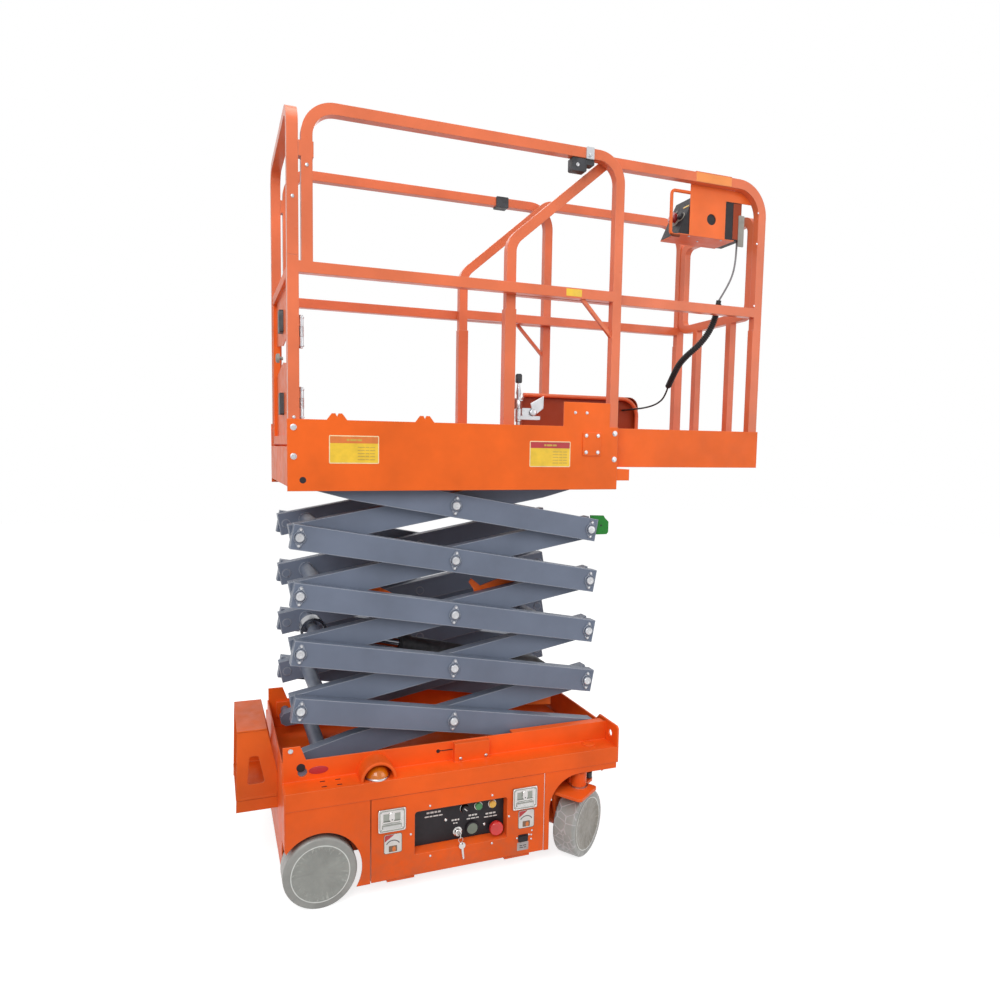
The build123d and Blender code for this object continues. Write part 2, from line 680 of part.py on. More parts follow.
def chassis_frame():
    """Tub floor, two long beams, bay floor, rear axle and front axle beam with kingpin bosses."""
    front = X0 + CHASSIS_NOSE - 6
    rear = X0 - CHASSIS_TAIL + 6
    tub_z = (TUB_FLOOR_TOP - TUB_SHEET, TUB_FLOOR_TOP)
    frame = block((rear, front), (-WALL_IN, WALL_IN), tub_z)
    cut = X0 + FRONT_ARCH_X
    beam_side = [
        (rear, SKIN_BOTTOM),
        (cut, SKIN_BOTTOM),
        (cut, FRONT_BEAM_Z),
        (front, FRONT_BEAM_Z),
        (front, tub_z[0]),
        (rear, tub_z[0]),
    ]
    frame += both_sides(slab_y(beam_side, BEAM_Y))
    bay_x = (X0 + DOOR_X[0], X0 + DOOR_X[1])
    bay_y = DOOR_FACE - DOOR_T - DOOR_GAP
    frame += block(bay_x, (-bay_y, bay_y), (SKIN_BOTTOM, SKIN_BOTTOM + SKIN_T))
    frame += both_sides(door_floor_hinges())
    rear_x = X0 + REAR_WHEEL_X
    axle = block((rear_x - 20, rear_x + 20), (0, WALL_IN - 6), (WHEEL_R - 20, WHEEL_R + 20))
    axle += rod_y(AXLE_R, rear_x, WHEEL_R, (WALL_IN - 6, WHEEL_Y + TYRE_W / 2 - AXLE_END))
    king_x = X0 + FRONT_WHEEL_X
    axle += block((king_x - 30, king_x + 30), (0, WHEEL_Y - 10), AXLE_BEAM_Z)
    axle += rod_z(KINGPIN_BOSS_R, king_x, WHEEL_Y, AXLE_BEAM_Z)
    axle -= rod_z(AXLE_R + PIN_FIT, king_x, WHEEL_Y, (AXLE_BEAM_Z[0] - 1, AXLE_BEAM_Z[1] + 1))
    return frame + both_sides(axle)


def skirt():
    """Side skirt on the +Y side: stepped shelf, inner wall, wheel arches, door opening and track."""
    rear = X0 - CHASSIS_TAIL
    front = X0 + CHASSIS_NOSE
    face = HALF_W - SKIN_INSET
    band_z = SHELF_TOP - SHELF_BAND
    shelf = block((rear, front), (WALL_IN, HALF_W), (SHELF_TOP - SKIN_T, SHELF_TOP))
    shelf += block((rear, front), (HALF_W - SKIN_T, HALF_W), (band_z, SHELF_TOP))
    shelf += block((rear, front), (WALL_IN, WALL_Y), (TUB_FLOOR_TOP - TUB_SHEET, WALL_TOP))
    skin = block((rear, front), (face - SKIN_T, face), (SKIN_BOTTOM, band_z + 6))
    wheel_x = X0 + REAR_WHEEL_X
    skin -= rod_y(ARCH_R, wheel_x, WHEEL_R, (face - 9, face + 9))
    skin -= block((rear - 1, wheel_x), (face - 9, face + 9), (SKIN_BOTTOM - 1, WHEEL_R + 60))
    arch = block((X0 + FRONT_ARCH_X, front + 1), (face - 9, face + 9), (0, FRONT_ARCH_TOP))
    bend = arch.edges().filter_by(Axis.Y).group_by(Axis.Z)[-1].sort_by(Axis.X)[0]
    skin -= fillet(bend, FRONT_ARCH_BEND)
    door_x = (X0 + DOOR_X[0] - DOOR_GAP, X0 + DOOR_X[1] + DOOR_GAP)
    skin -= block(door_x, (face - 9, face + 9), (SKIN_BOTTOM - 1, DOOR_TOP + DOOR_GAP - 1))
    well = rod_y(ARCH_R + SKIN_T, wheel_x, WHEEL_R, (WALL_IN, face))
    well -= rod_y(ARCH_R, wheel_x, WHEEL_R, (WALL_IN - 1, face + 1))
    well &= block((rear, wheel_x + ARCH_R + SKIN_T), (WALL_IN, face), (WHEEL_R + 60, SHELF_TOP))
    flange_y = (OUTER_ARM_FACE + ROLLER_GAP - 2, WALL_IN)
    low = BASE_PIVOT_Z - ROLLER_R - TRACK_FIT
    high = BASE_PIVOT_Z + ROLLER_R + TRACK_FIT
    track_x = (X0 + TRACK_START, front - 6)
    track = block(track_x, flange_y, (low - TRACK_SHEET, low))
    track += block(track_x, flange_y, (high, high + TRACK_SHEET))
    boss_x = (PIVOT_X - BOSS_W / 2, PIVOT_X + BOSS_W / 2)
    boss_z = (BASE_PIVOT_Z - BOSS_W / 2, BASE_PIVOT_Z + BOSS_W / 2)
    side = shelf + skin + well + track + block(boss_x, (WALL_IN - BOSS_T, WALL_IN), boss_z)
    lug_foot, lug_top = WALL_TOP - 1, TAIL_LUG_TOP
    lug = [(rear, lug_foot), (rear, lug_top), (rear + TAIL_LUG[0], lug_top), (rear + TAIL_LUG[1], lug_foot)]
    side += slab_y(lug, (WALL_IN, WALL_Y))
    side -= rod_y(WALL_HOLE_R, X0 + WALL_HOLE[0], WALL_HOLE[1], (WALL_IN - 1, WALL_Y + 1))
    for at_x in SHELF_SLOT_X:
        for at_y in (WALL_Y + WALL_COVER_D, HALF_W - WALL_COVER_D):
            slot_x = (X0 + at_x, X0 + at_x + SHELF_SLOT[0])
            side -= block(slot_x, (at_y, at_y + SHELF_SLOT[1]), (SHELF_TOP - SKIN_T - 1, SHELF_TOP + 1))
    side -= rod_y(PIN_R + PIN_FIT, PIVOT_X, BASE_PIVOT_Z, (WALL_IN - BOSS_T - 1, WALL_Y + 1))
    return side


def wall_cover():
    """Cable cover on the wall over the near shelf, drawn on the +Y side."""
    xs = (X0 + WALL_COVER_X[0], X0 + WALL_COVER_X[1])
    return block(xs, (WALL_Y - 1, WALL_Y + WALL_COVER_D), (SHELF_TOP - 1, WALL_TOP - 3))


def bulkhead_rear():
    """Rear end plate of the chassis."""
    rear = X0 - CHASSIS_TAIL
    outline = [
        (-HALF_W, SHELF_TOP),
        (-WALL_Y, SHELF_TOP),
        (-WALL_Y, WALL_TOP),
        (WALL_Y, WALL_TOP),
        (WALL_Y, SHELF_TOP),
        (HALF_W, SHELF_TOP),
        (HALF_W - 2, 200),
        (WALL_IN, 200),
        (WALL_IN - 20, 80),
        (-WALL_IN + 20, 80),
        (-WALL_IN, 200),
        (-HALF_W + 2, 200),
    ]
    return slab_x(outline, (rear - SKIN_T, rear))


def bulkhead_front():
    """Front end plate, whose two ears close the shelves and take the tie-down hooks."""
    front = X0 + CHASSIS_NOSE
    band_z = SHELF_TOP - SHELF_BAND
    half = [
        (-1, NOSE_FOOT),
        (WALL_Y - 20, NOSE_FOOT),
        (WALL_Y, band_z),
        (HALF_W, band_z),
        (HALF_W, NOSE_EAR - 8),
        (HALF_W - 8, NOSE_EAR),
        (NOSE_EAR_IN, NOSE_EAR),
        (NOSE_EAR_IN - 24, WALL_TOP - 16),
        (-1, WALL_TOP - 16),
    ]
    plate = slab_x(half, (front, front + NOSE_SHEET))
    plate -= rod_x(TIE_HOLE_R, TIE_HOLE_Y, TIE_HOLE_Z, (front - 1, front + NOSE_SHEET + 1))
    return both_sides(plate)


def ladder():
    """Rear ladder: two pierced side plates and two treads, on the rear end plate."""
    back = X0 - LADDER_REACH
    wall = X0 - CHASSIS_TAIL - SKIN_T
    outline = [
        (back, LADDER_FOOT),
        (wall, LADDER_FOOT),
        (wall, LADDER_KNEE),
        (wall - LADDER_TOP_IN, LADDER_TOP),
        (back + 6, LADDER_TOP),
    ]
    inner = LADDER_HALF - LADDER_SHEET
    hole = slab_y([(back + x, z) for x, z in LADDER_HOLE], (inner - 1, LADDER_HALF + 1))
    hole = fillet(hole.edges().filter_by(Axis.Y), LADDER_HOLE_BEND)
    side = slab_y(outline, (inner, LADDER_HALF)) - hole
    tread_x = (back + 6, wall - LADDER_TOP_IN)
    steps = block(tread_x, (-inner, inner), (LADDER_TOP - LADDER_SHEET, LADDER_TOP))
    low = LADDER_FOOT + LADDER_STEP_RISE
    steps += block((back, wall), (-inner, inner), (low, low + LADDER_SHEET))
    return both_sides(side) + steps


def beacon():
    """Amber dome on the near shelf."""
    dome = Sphere(BEACON_R) & block((-60, 60), (-60, 60), (0, 60))
    return Pos(X0 + BEACON_X, -(WALL_Y + BEACON_R + 3), SHELF_TOP) * dome


def beacon_hood():
    """Half-round hood over the beacon, standing on the near shelf against the wall."""
    x = X0 + BEACON_X
    ys = (-(HALF_W - 12), -WALL_Y)
    hood = rod_y(HOOD_R, x, SHELF_TOP, ys) - rod_y(HOOD_R - HOOD_T, x, SHELF_TOP, (ys[0] - 1, ys[1] + 1))
    return hood & block((x - 99, x + 99), ys, (SHELF_TOP, SHELF_TOP + 99))


def door(with_recess):
    """Bay door on the +Y side; the near door has a recess for the ground controls."""
    face = DOOR_FACE
    xs = (X0 + DOOR_X[0], X0 + DOOR_X[1])
    leaf = block(xs, (face - DOOR_T, face), (DOOR_FOOT, DOOR_TOP))
    for at_x in DOOR_HINGE_X:
        ends = (X0 + at_x - KNUCKLE_L / 2, X0 + at_x + KNUCKLE_L / 2)
        tab_y = (DOOR_PIVOT_Y - DOOR_HINGE_R, DOOR_PIVOT_Y + DOOR_HINGE_R)
        leaf += block(ends, tab_y, (DOOR_PIVOT_Z, DOOR_FOOT + 1))
        leaf += rod_x(DOOR_HINGE_R, DOOR_PIVOT_Y, DOOR_PIVOT_Z, ends)
        leaf -= rod_x(DOOR_HINGE_PIN_R + PIN_FIT, DOOR_PIVOT_Y, DOOR_PIVOT_Z, ends)
    if with_recess:
        recess_x = (X0 + RECESS_X[0], X0 + RECESS_X[1])
        box_x = (recess_x[0] - SKIN_T, recess_x[1] + SKIN_T)
        box_z = (RECESS_Z[0] - SKIN_T, RECESS_Z[1] + SKIN_T)
        leaf += block(box_x, (face - RECESS_D - SKIN_T, face), box_z)
        back = face - RECESS_D
        low, high = RECESS_Z
        section = [(face + 1, low), (back, low + SILL_RISE), (back, high), (face + 1, high)]
        mouth = slab_x(section, recess_x)
        leaf -= fillet(mouth.edges().filter_by(Axis.Y), RECESS_CORNER)
    return leaf


def control_panel():
    """Ground control plate in the near door's recess, with its switches and gauge."""
    back = -(DOOR_FACE - RECESS_D)
    xs = (X0 + RECESS_X[0] + 1, X0 + RECESS_X[1] - 1)
    face = back - PANEL_T
    panel = block(xs, (face, back - TRACK_FIT), (RECESS_Z[0] + SILL_RISE, RECESS_Z[1] - 1))
    panel = fillet(panel.edges().filter_by(Axis.Y), RECESS_CORNER)
    for back_x, at_z, radius, proud in PANEL_CONTROLS:
        panel += rod_y(radius, X0 + RECESS_X[1] - back_x, at_z, (face - proud, face))
    return panel


def stop_button(radius):
    """Mushroom head on a short stem, drawn at the origin and standing out towards -Y."""
    head = rod_y(radius, 0, 0, (-26, -12))
    head = fillet(head.edges().group_by(Axis.Y)[0], 5)
    return head + rod_y(radius - 8, 0, 0, (-13, 0))


def panel_stop():
    """Red stop of the ground controls."""
    face = -(DOOR_FACE - RECESS_D + PANEL_T)
    return Pos(X0 + RECESS_X[1] - PANEL_STOP[0], face, PANEL_STOP[1]) * stop_button(PANEL_STOP_R)


def wheel_side(shape, x, turn):
    """Put a wheel piece drawn at the origin, facing +Y, on the +Y side at x."""
    return Pos(X0 + x, WHEEL_Y, WHEEL_R) * Rot(0, 0, turn) * shape


def hub():
    """Wheel hub: bored boss, closed outer face and rim, turned about Y."""
    half = TYRE_W / 2
    inside = half - HUB_COVER_IN - HUB_COVER_T
    profile = [
        (AXLE_R + PIN_FIT, -half + 8),
        (HUB_BOSS_R, -half + 8),
        (HUB_BOSS_R, inside),
        (HUB_R - HUB_RIM, inside),
        (HUB_R - HUB_RIM, -half + 2),
        (HUB_R, -half + 2),
        (HUB_R, half - 2),
        (HUB_R - HUB_RIM, half - 2),
        (HUB_R - HUB_RIM - 4, half - HUB_COVER_IN),
        (0, half - HUB_COVER_IN),
        (0, inside),
        (AXLE_R + PIN_FIT, inside),
    ]
    face = make_face(Polyline(*[(r, y, 0) for r, y in profile], close=True))
    return revolve(face, axis=Axis.Y, revolution_arc=360)


def tyre():
    """Solid tyre with rounded shoulders, turned about Y."""
    half = TYRE_W / 2
    shoulder = 9
    ring = Rot(90, 0, 0) * Cylinder(WHEEL_R, TYRE_W)
    ring = fillet(ring.edges().filter_by(GeomType.CIRCLE), shoulder)
    return ring - rod_y(HUB_R, 0, 0, (-half - 1, half + 1))


def knuckle(side):
    """Steering yoke with kingpin, steering arm, leg, stub axle and drive motor, steered."""
    top = block((-YOKE_TAIL, YOKE_HALF), (-LEG_Y[1], YOKE_WING), YOKE_Z)
    top = fillet(top.edges().filter_by(Axis.Z), YOKE_CORNER)
    top += block((0, STEER_ARM), (-16, 16), YOKE_Z) + rod_z(16, STEER_ARM, 0, YOKE_Z)
    top += rod_z(AXLE_R, 0, 0, (YOKE_Z[1], AXLE_BEAM_Z[1] + 12))
    top += rod_z(TIE_PIN_R, STEER_ARM, 0, (YOKE_Z[1], YOKE_Z[1] + TIE_EYE_H + 6))
    foot, top_z = WHEEL_R - LEG_HALF, YOKE_Z[0] + 1
    tail = -YOKE_TAIL + YOKE_CORNER
    leg_side = [(-LEG_HALF, foot), (YOKE_HALF, foot), (YOKE_HALF - 1, top_z), (tail, top_z)]
    leg = slab_y(leg_side, (-LEG_Y[1], -LEG_Y[0]))
    axle = rod_y(AXLE_R, 0, WHEEL_R, (-LEG_Y[0], TYRE_W / 2 - AXLE_END))
    motor = rod_y(MOTOR_R, 0, WHEEL_R, (-LEG_Y[1] - MOTOR_L, -LEG_Y[1]))
    yoke = top + leg + axle + motor
    if side < 0:
        yoke = mirror(yoke, about=Plane.XZ)
    return Pos(X0 + FRONT_WHEEL_X, side * WHEEL_Y, 0) * Rot(0, 0, STEER_REST) * yoke


def tie_rod():
    """Track rod between the two steering arms, with an eye at each end."""
    turn = math.radians(STEER_REST)
    x = X0 + FRONT_WHEEL_X + STEER_ARM * math.cos(turn)
    shift = STEER_ARM * math.sin(turn)
    z = (YOKE_Z[1] + 2, YOKE_Z[1] + 2 + TIE_EYE_H)
    middle = (z[0] + z[1]) / 2
    near, far = -WHEEL_Y + shift, WHEEL_Y + shift
    inset = (TIE_PIN_R + TIE_EYE_R) / 2
    rod = rod_y(TIE_ROD_R, x, middle, (near + inset, far - inset))
    rod += rod_z(TIE_EYE_R, x, near, z) + rod_z(TIE_EYE_R, x, far, z)
    rod -= rod_z(TIE_PIN_R + PIN_FIT, x, near, (z[0] - 1, z[1] + 1))
    return rod - rod_z(TIE_PIN_R + TIE_SLACK, x, far, (z[0] - 1, z[1] + 1))


def control_box():
    """Upper control box, hung inside the extension's near rail, with a sloping front panel."""
    y = -(EXT_FACE - EXT_SHEET - RAIL_T - 2 * TRACK_FIT)
    rear, front = EXT_FRONT - BOX_BACK[0], EXT_FRONT - BOX_BACK[1]
    side = [(rear, BOX_Z[0]), (front, BOX_Z[0]), (front, BOX_Z[1]), (rear + BOX_SLOPE, BOX_Z[1])]
    return slab_y(side, (y + 3, y + 3 + BOX_DEPTH))


def box_bracket():
    """Cover plate that hooks over the near top rail, with the box's tray and a hand loop."""
    y_out = -(EXT_FACE - EXT_SHEET - RAIL_T - 2 * TRACK_FIT)
    plate_y = (y_out, y_out + COVER_SHEET)
    xs = (EXT_FRONT - COVER_PLATE_BACK[0], EXT_FRONT - COVER_PLATE_BACK[1])
    tray_z = (BOX_Z[0] - TRACK_FIT - 3, BOX_Z[0] - TRACK_FIT)
    plate = block(xs, plate_y, (tray_z[0], RAIL_TOP + 3))
    plate -= rod_y(COVER_HOLE_R, EXT_FRONT - COVER_HOLE[0], RAIL_TOP - COVER_HOLE[1], (y_out - 1, y_out + 9))
    plate += block(xs, (y_out - RAIL_T, plate_y[1]), (RAIL_TOP + TRACK_FIT, RAIL_TOP + 3))
    wing_x = (xs[0], EXT_FRONT - EXT_SHEET - RAIL_H - 2 * TRACK_FIT)
    plate += block(wing_x, plate_y, (RAIL_TOP - WING_DROP, RAIL_TOP - RAIL_H))
    rear = EXT_FRONT - BOX_BACK[0]
    plate += block((rear, EXT_FRONT - TRAY_BACK), (y_out, y_out + 3 + BOX_DEPTH), tray_z)
    y = y_out + LOOP_R
    low, high = tray_z[0] - LOOP_R + 2, RAIL_TOP - LOOP_DROP
    back = EXT_FRONT - LOOP_BACK
    corners = [(rear + 8, y, low), (back, y, low), (back, y, high), (xs[0] + 8, y, high)]
    path = FilletPolyline(*corners, radius=LOOP_BEND)
    return plate + sweep(Plane(origin=path @ 0, z_dir=path % 0) * Circle(LOOP_R), path=path)


def box_stop():
    """Red stop on the control box's sloping panel."""
    y = -(EXT_FACE - EXT_SHEET - RAIL_T) + 60
    z = RAIL_TOP - BOX_STOP_DROP
    rise = z - BOX_Z[0]
    lean = BOX_SLOPE / (BOX_Z[1] - BOX_Z[0])
    x = EXT_FRONT - BOX_BACK[0] + rise * lean
    turn = math.degrees(math.atan(lean))
    return Pos(x, y, z) * Rot(0, turn, 0) * Rot(0, 0, -90) * stop_button(STOP_R)


def cable_run(points, radius):
    """A stretch of the control cable: straight runs joined by the widest arcs they allow."""
    height = BOX_Z[0] - EXT_DECK_TOP
    spots = [Vector(EXT_FRONT - back, y, EXT_DECK_TOP + share * height) for back, y, share in points]
    runs = [b - a for a, b in zip(spots, spots[1:])]
    bends = []
    for before, after in zip(runs, runs[1:]):
        half_turn = math.radians(before.get_angle(after)) / 2
        bends.append(0.45 * min(before.length, after.length) / math.tan(half_turn))
    print("cable bends", [round(bend) for bend in bends])
    path = FilletPolyline(*spots, radius=bends)
    tube = sweep(Plane(origin=path @ 0, z_dir=path % 0) * Circle(radius), path=path)
    print("cable volume over section times length", tube.volume / (math.pi * radius**2 * path.length))
    return tube


def cable_guard():
    """Round-cornered plate at the far side of the extension, where the cable goes in."""
    xs = (EXT_FRONT - GUARD_BACK[0], EXT_FRONT - GUARD_BACK[1])
    foot = EXT_DECK_TOP
    plate = block(xs, GUARD_Y, (foot, GUARD_TOP))
    corners = plate.edges().filter_by(Axis.Y).group_by(Axis.Z)[-1]
    plate = fillet(corners, GUARD_CORNER)
    rim = block(xs, (GUARD_Y[0] - 16, GUARD_Y[0]), (foot, GUARD_TOP))
    rim = fillet(rim.edges().filter_by(Axis.Y).group_by(Axis.Z)[-1], GUARD_CORNER)
    inside = block((xs[0] + 4, xs[1] - 4), (GUARD_Y[0] - 17, GUARD_Y[0]), (foot - 1, GUARD_TOP - 4))
    inside = fillet(inside.edges().filter_by(Axis.Y).group_by(Axis.Z)[-1], GUARD_CORNER - 4)
    return plate + (rim - inside)


def deck_latch():
    """Foot latch that locks the extension: an upright spring post and a pedal plate."""
    xs = (EXT_REAR + LATCH_IN[0], EXT_REAR + LATCH_IN[1])
    foot = EXT_DECK_TOP
    post_x = xs[0] + 10
    middle = (LATCH_Y[0] + LATCH_Y[1]) / 2
    latch = block(xs, LATCH_Y, (foot, foot + 5))
    latch += block(xs, (LATCH_Y[0], LATCH_Y[0] + 5), (foot, foot + LATCH_PLATE_H))
    pedal = [(xs[0] + across, foot + rise) for across, rise in LATCH_PEDAL]
    latch += slab_y(pedal, (LATCH_Y[0], LATCH_Y[0] + 5))
    return latch + rod_z(8, post_x, middle, (foot, foot + LATCH_POST_H))


def door_latches():
    """Two paddle latches on the +Y side door: a dished frame with its paddle."""
    face = DOOR_FACE
    wide, proud, high = DOOR_LATCH
    latches = Part()
    for at_x in DOOR_LATCH_X:
        xs = (X0 + at_x - wide / 2, X0 + at_x + wide / 2)
        zs = (DOOR_LATCH_Z - high / 2, DOOR_LATCH_Z + high / 2)
        frame = block(xs, (face, face + proud), zs)
        frame -= block((xs[0] + 6, xs[1] - 6), (face + 1, face + proud + 1), (zs[0] + 6, zs[1] - 6))
        frame += block((xs[0] + 12, xs[1] - 12), (face, face + proud - 1), (zs[0] + 8, zs[0] + 22))
        latches += frame
    return latches


def battery_pack():
    """Battery block on the near bay floor."""
    length, width, height = BATTERY
    x = X0 + DOOR_X[0] + BATTERY_IN
    y = -(BEAM_Y[1] + TRACK_FIT)
    z = SKIN_BOTTOM + SKIN_T + TRACK_FIT
    return block((x, x + length), (y - width, y), (z, z + height))


def power_unit():
    """Hydraulic power unit block on the far bay floor."""
    length, width, height = PUMP_BOX
    x = X0 + DOOR_X[0] + PUMP_BOX_IN
    y = BEAM_Y[1] + TRACK_FIT
    z = SKIN_BOTTOM + SKIN_T + TRACK_FIT
    return block((x, x + length), (y, y + width), (z, z + height))


def near(shape):
    """The near-side twin of a piece drawn on the +Y side."""
    return mirror(shape, about=Plane.XZ)


nodes = {
    "chassis_frame": chassis_frame(),
    "skirt_far": skirt(),
    "skirt_near": near(skirt() + wall_cover()),
    "bulkhead_rear": bulkhead_rear(),
    "bulkhead_front": bulkhead_front(),
    "ladder": ladder(),
    "beacon": beacon(),
    "beacon_hood": beacon_hood(),
    "battery_pack": battery_pack(),
    "power_unit": power_unit(),
    "door_near": near(door(True)),
    "control_panel": control_panel(),
    "panel_stop": panel_stop(),
    "door_far": door(False),
    "knuckle_near": knuckle(-1),
    "knuckle_far": knuckle(1),
    "tie_rod": tie_rod(),
    "lift_barrel": lift_barrel(),
    "lift_rod": lift_rod(),
    "platform_deck": platform_deck(),
    "rail_far": rail_side(),
    "rail_near": near(rail_side()) + gate_post_hinges(),
    "rail_rear": rail_rear(),
    "gate": gate(),
    "ext_deck": ext_deck(),
    "ext_rail_far": ext_rail_side(),
    "ext_rail_near": near(ext_rail_side()),
    "ext_rail_front": ext_rail_front(),
    "control_box": control_box(),
    "box_bracket": box_bracket(),
    "box_stop": box_stop(),
    "cable_top": cable_run(CABLE_TOP, CABLE_R),
    "cable_coil": cable_run(CABLE_COIL, COIL_R),
    "cable_tail": cable_run(CABLE_TAIL, CABLE_R),
    "cable_guard": cable_guard(),
    "deck_latch": deck_latch(),
    "latches_far": door_latches(),
    "latches_near": near(door_latches()),
}
for number in range(1, LEVELS + 1):
    nodes[f"inner_arms_{number}"] = inner_arms(number)
    nodes[f"outer_arms_{number}"] = outer_arms(number)
for name, piece in (("hub", hub()), ("tyre", tyre())):
    nodes[f"{name}_rear_far"] = wheel_side(piece, REAR_WHEEL_X, 0)
    nodes[f"{name}_rear_near"] = near(wheel_side(piece, REAR_WHEEL_X, 0))
    nodes[f"{name}_front_far"] = wheel_side(piece, FRONT_WHEEL_X, STEER_REST)
    nodes[f"{name}_front_near"] = near(wheel_side(piece, FRONT_WHEEL_X, -STEER_REST))

os.makedirs("parts", exist_ok=True)
for name, shape in nodes.items():
    export_step(shape, f"parts/{name}.step")

print("deck floor", FLOOR_TOP, "lift eye length", EYE_L, "angle", EYE_ANGLE)
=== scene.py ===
import math

import bpy
import numpy as np
from mathutils import Matrix


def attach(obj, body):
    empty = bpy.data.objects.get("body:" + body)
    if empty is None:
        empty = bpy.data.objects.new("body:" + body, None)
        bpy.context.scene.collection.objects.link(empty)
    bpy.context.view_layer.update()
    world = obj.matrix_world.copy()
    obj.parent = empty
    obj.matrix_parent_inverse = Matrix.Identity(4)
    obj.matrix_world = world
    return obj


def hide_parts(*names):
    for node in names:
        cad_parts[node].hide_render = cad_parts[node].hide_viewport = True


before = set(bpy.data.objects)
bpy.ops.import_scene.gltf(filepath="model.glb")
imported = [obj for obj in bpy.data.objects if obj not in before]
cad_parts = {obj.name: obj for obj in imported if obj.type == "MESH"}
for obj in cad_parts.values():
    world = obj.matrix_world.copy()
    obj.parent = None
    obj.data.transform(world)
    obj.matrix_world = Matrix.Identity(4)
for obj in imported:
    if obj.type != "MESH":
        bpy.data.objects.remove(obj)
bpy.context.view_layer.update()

# Everything is in metres. Places along the machine are given from the platform's rear face,
# which lies at REAR on the X axis. The near side is -Y. Names that end in _Y are distances from the
# middle plane, and names that end in _Z are heights.
REAR = -0.8145
ARM_L = 1.04
REST = math.radians(10.25)
RISE = ARM_L * math.sin(REST)
PIVOT_X = REAR + 0.04
BASE_Z = 0.411
DOOR_Y = 0.378
PANEL_Y = 0.346
WALL_Y = 0.298
SHELF_Z = 0.384
FASCIA_Y = 0.3
RAIL_Y = 0.296
EXT_RAIL_Y = 0.2587
BOX_Y = 0.2274
ARM_Y = 0.26
PROP_Y = 0.169
PROP_THICK = 0.0058
WHEEL_R = 0.115
REAR_WHEEL_X = 0.084
FRONT_WHEEL_X = 0.99793
STEER = math.radians(35)
TRACK_Y = 0.34
BEACON_X = 0.269
LATCH_Z = 0.252
LOCK_X, LOCK_Z = 0.5409, 0.157
CLAMP_Y = 0.262

# Paint colours as seen in even light, in sRGB from 0 to 255
ORANGE = (240, 103, 30)
SLATE = (113, 122, 140)
LUG_GREEN = (38, 128, 48)
LABEL_YELLOW = (244, 200, 48)
LABEL_RED = (186, 44, 52)
LABEL_WHITE = (226, 222, 218)
AMBER = (222, 120, 16)
FILM_GREY = (150, 150, 146)


def linear(colour):
    """sRGB numbers from 0 to 255 as linear light from 0 to 1, with an alpha of 1."""
    c = np.array(colour, float) / 255
    lit = np.where(c <= 0.04045, c / 12.92, ((c + 0.055) / 1.055) ** 2.4)
    return (*lit.tolist(), 1.0)


# ---- surfaces -------------------------------------------------------------------------------


def mesh_of(name, sheets):
    """One object from several point grids: each grid of rows by columns is closed round its
    columns. Where its last row comes back to the first, the two are one row; otherwise the first
    and last rows are closed by a flat face."""
    verts, loops, sizes, shift = [], [], [], 0
    for grid in sheets:
        endless = np.allclose(grid[0], grid[-1])
        grid = grid[:-1] if endless else grid
        rows, cols = grid.shape[:2]
        index = np.arange(rows * cols).reshape(rows, cols) + shift
        ahead = np.concatenate([index, index[:1]]) if endless else index
        around = np.roll(ahead, -1, axis=1)
        quads = np.stack([ahead[:-1], around[:-1], around[1:], ahead[1:]], axis=-1).reshape(-1, 4)
        ends = [] if endless else [index[0][::-1], index[-1]]
        loops += [quads.ravel(), *ends]
        sizes += [np.full(len(quads), 4), *([len(end)] for end in ends)]
        verts.append(grid.reshape(-1, 3))
        shift += rows * cols
    verts, loops, sizes = np.concatenate(verts), np.concatenate(loops), np.concatenate(sizes)
    mesh = bpy.data.meshes.new(name)
    mesh.vertices.add(len(verts))
    mesh.vertices.foreach_set("co", verts.ravel())
    mesh.loops.add(len(loops))
    mesh.loops.foreach_set("vertex_index", loops.astype(np.int32))
    mesh.polygons.add(len(sizes))
    starts = np.concatenate([[0], np.cumsum(sizes)[:-1]])
    mesh.polygons.foreach_set("loop_start", starts.astype(np.int32))
    mesh.update(calc_edges=True)
    mesh.validate()
    obj = bpy.data.objects.new(name, mesh)
    bpy.context.scene.collection.objects.link(obj)
    return obj


def across(axis):
    """Two directions square to an axis and to each other, so that the three turn right-handed."""
    w = np.array(axis, float) / np.linalg.norm(axis)
    u = np.cross([0, 0, 1], w) if abs(w[2]) < 0.9 else np.array([1.0, 0, 0])
    u = u / np.linalg.norm(u)
    return u, np.cross(w, u), w


def turned(profile, centre, axis, sides=24):
    """A turned form: at height h of each (radius, h) pair stands a circle of that radius round
    the axis, so a point is centre + h w + r (u cos a + v sin a)."""
    u, v, w = across(axis)
    r, h = np.array(profile, float).T
    a = np.linspace(0, 2 * np.pi, sides, endpoint=False)
    ring = np.cos(a)[:, None] * u + np.sin(a)[:, None] * v
    return np.array(centre) + h[:, None, None] * w + r[:, None, None] * ring


def levels(outline, steps, centre, u, v):
    """A flat form: the closed outline of (a, b) pairs is set in by each step's inset and lifted by
    its height, so a point is centre + a u + b v + height (u x v). The inset moves each point
    towards the middle by that share of its own distance."""
    pts = np.array(outline, float)
    u, v = np.array(u, float), np.array(v, float)
    w = np.cross(u, v)
    rows = []
    for inset, height in steps:
        reach = np.linalg.norm(pts, axis=1, keepdims=True)
        p = pts * (1 - inset / reach)
        rows.append(np.array(centre) + p[:, :1] * u + p[:, 1:] * v + height * w)
    return np.stack(rows)


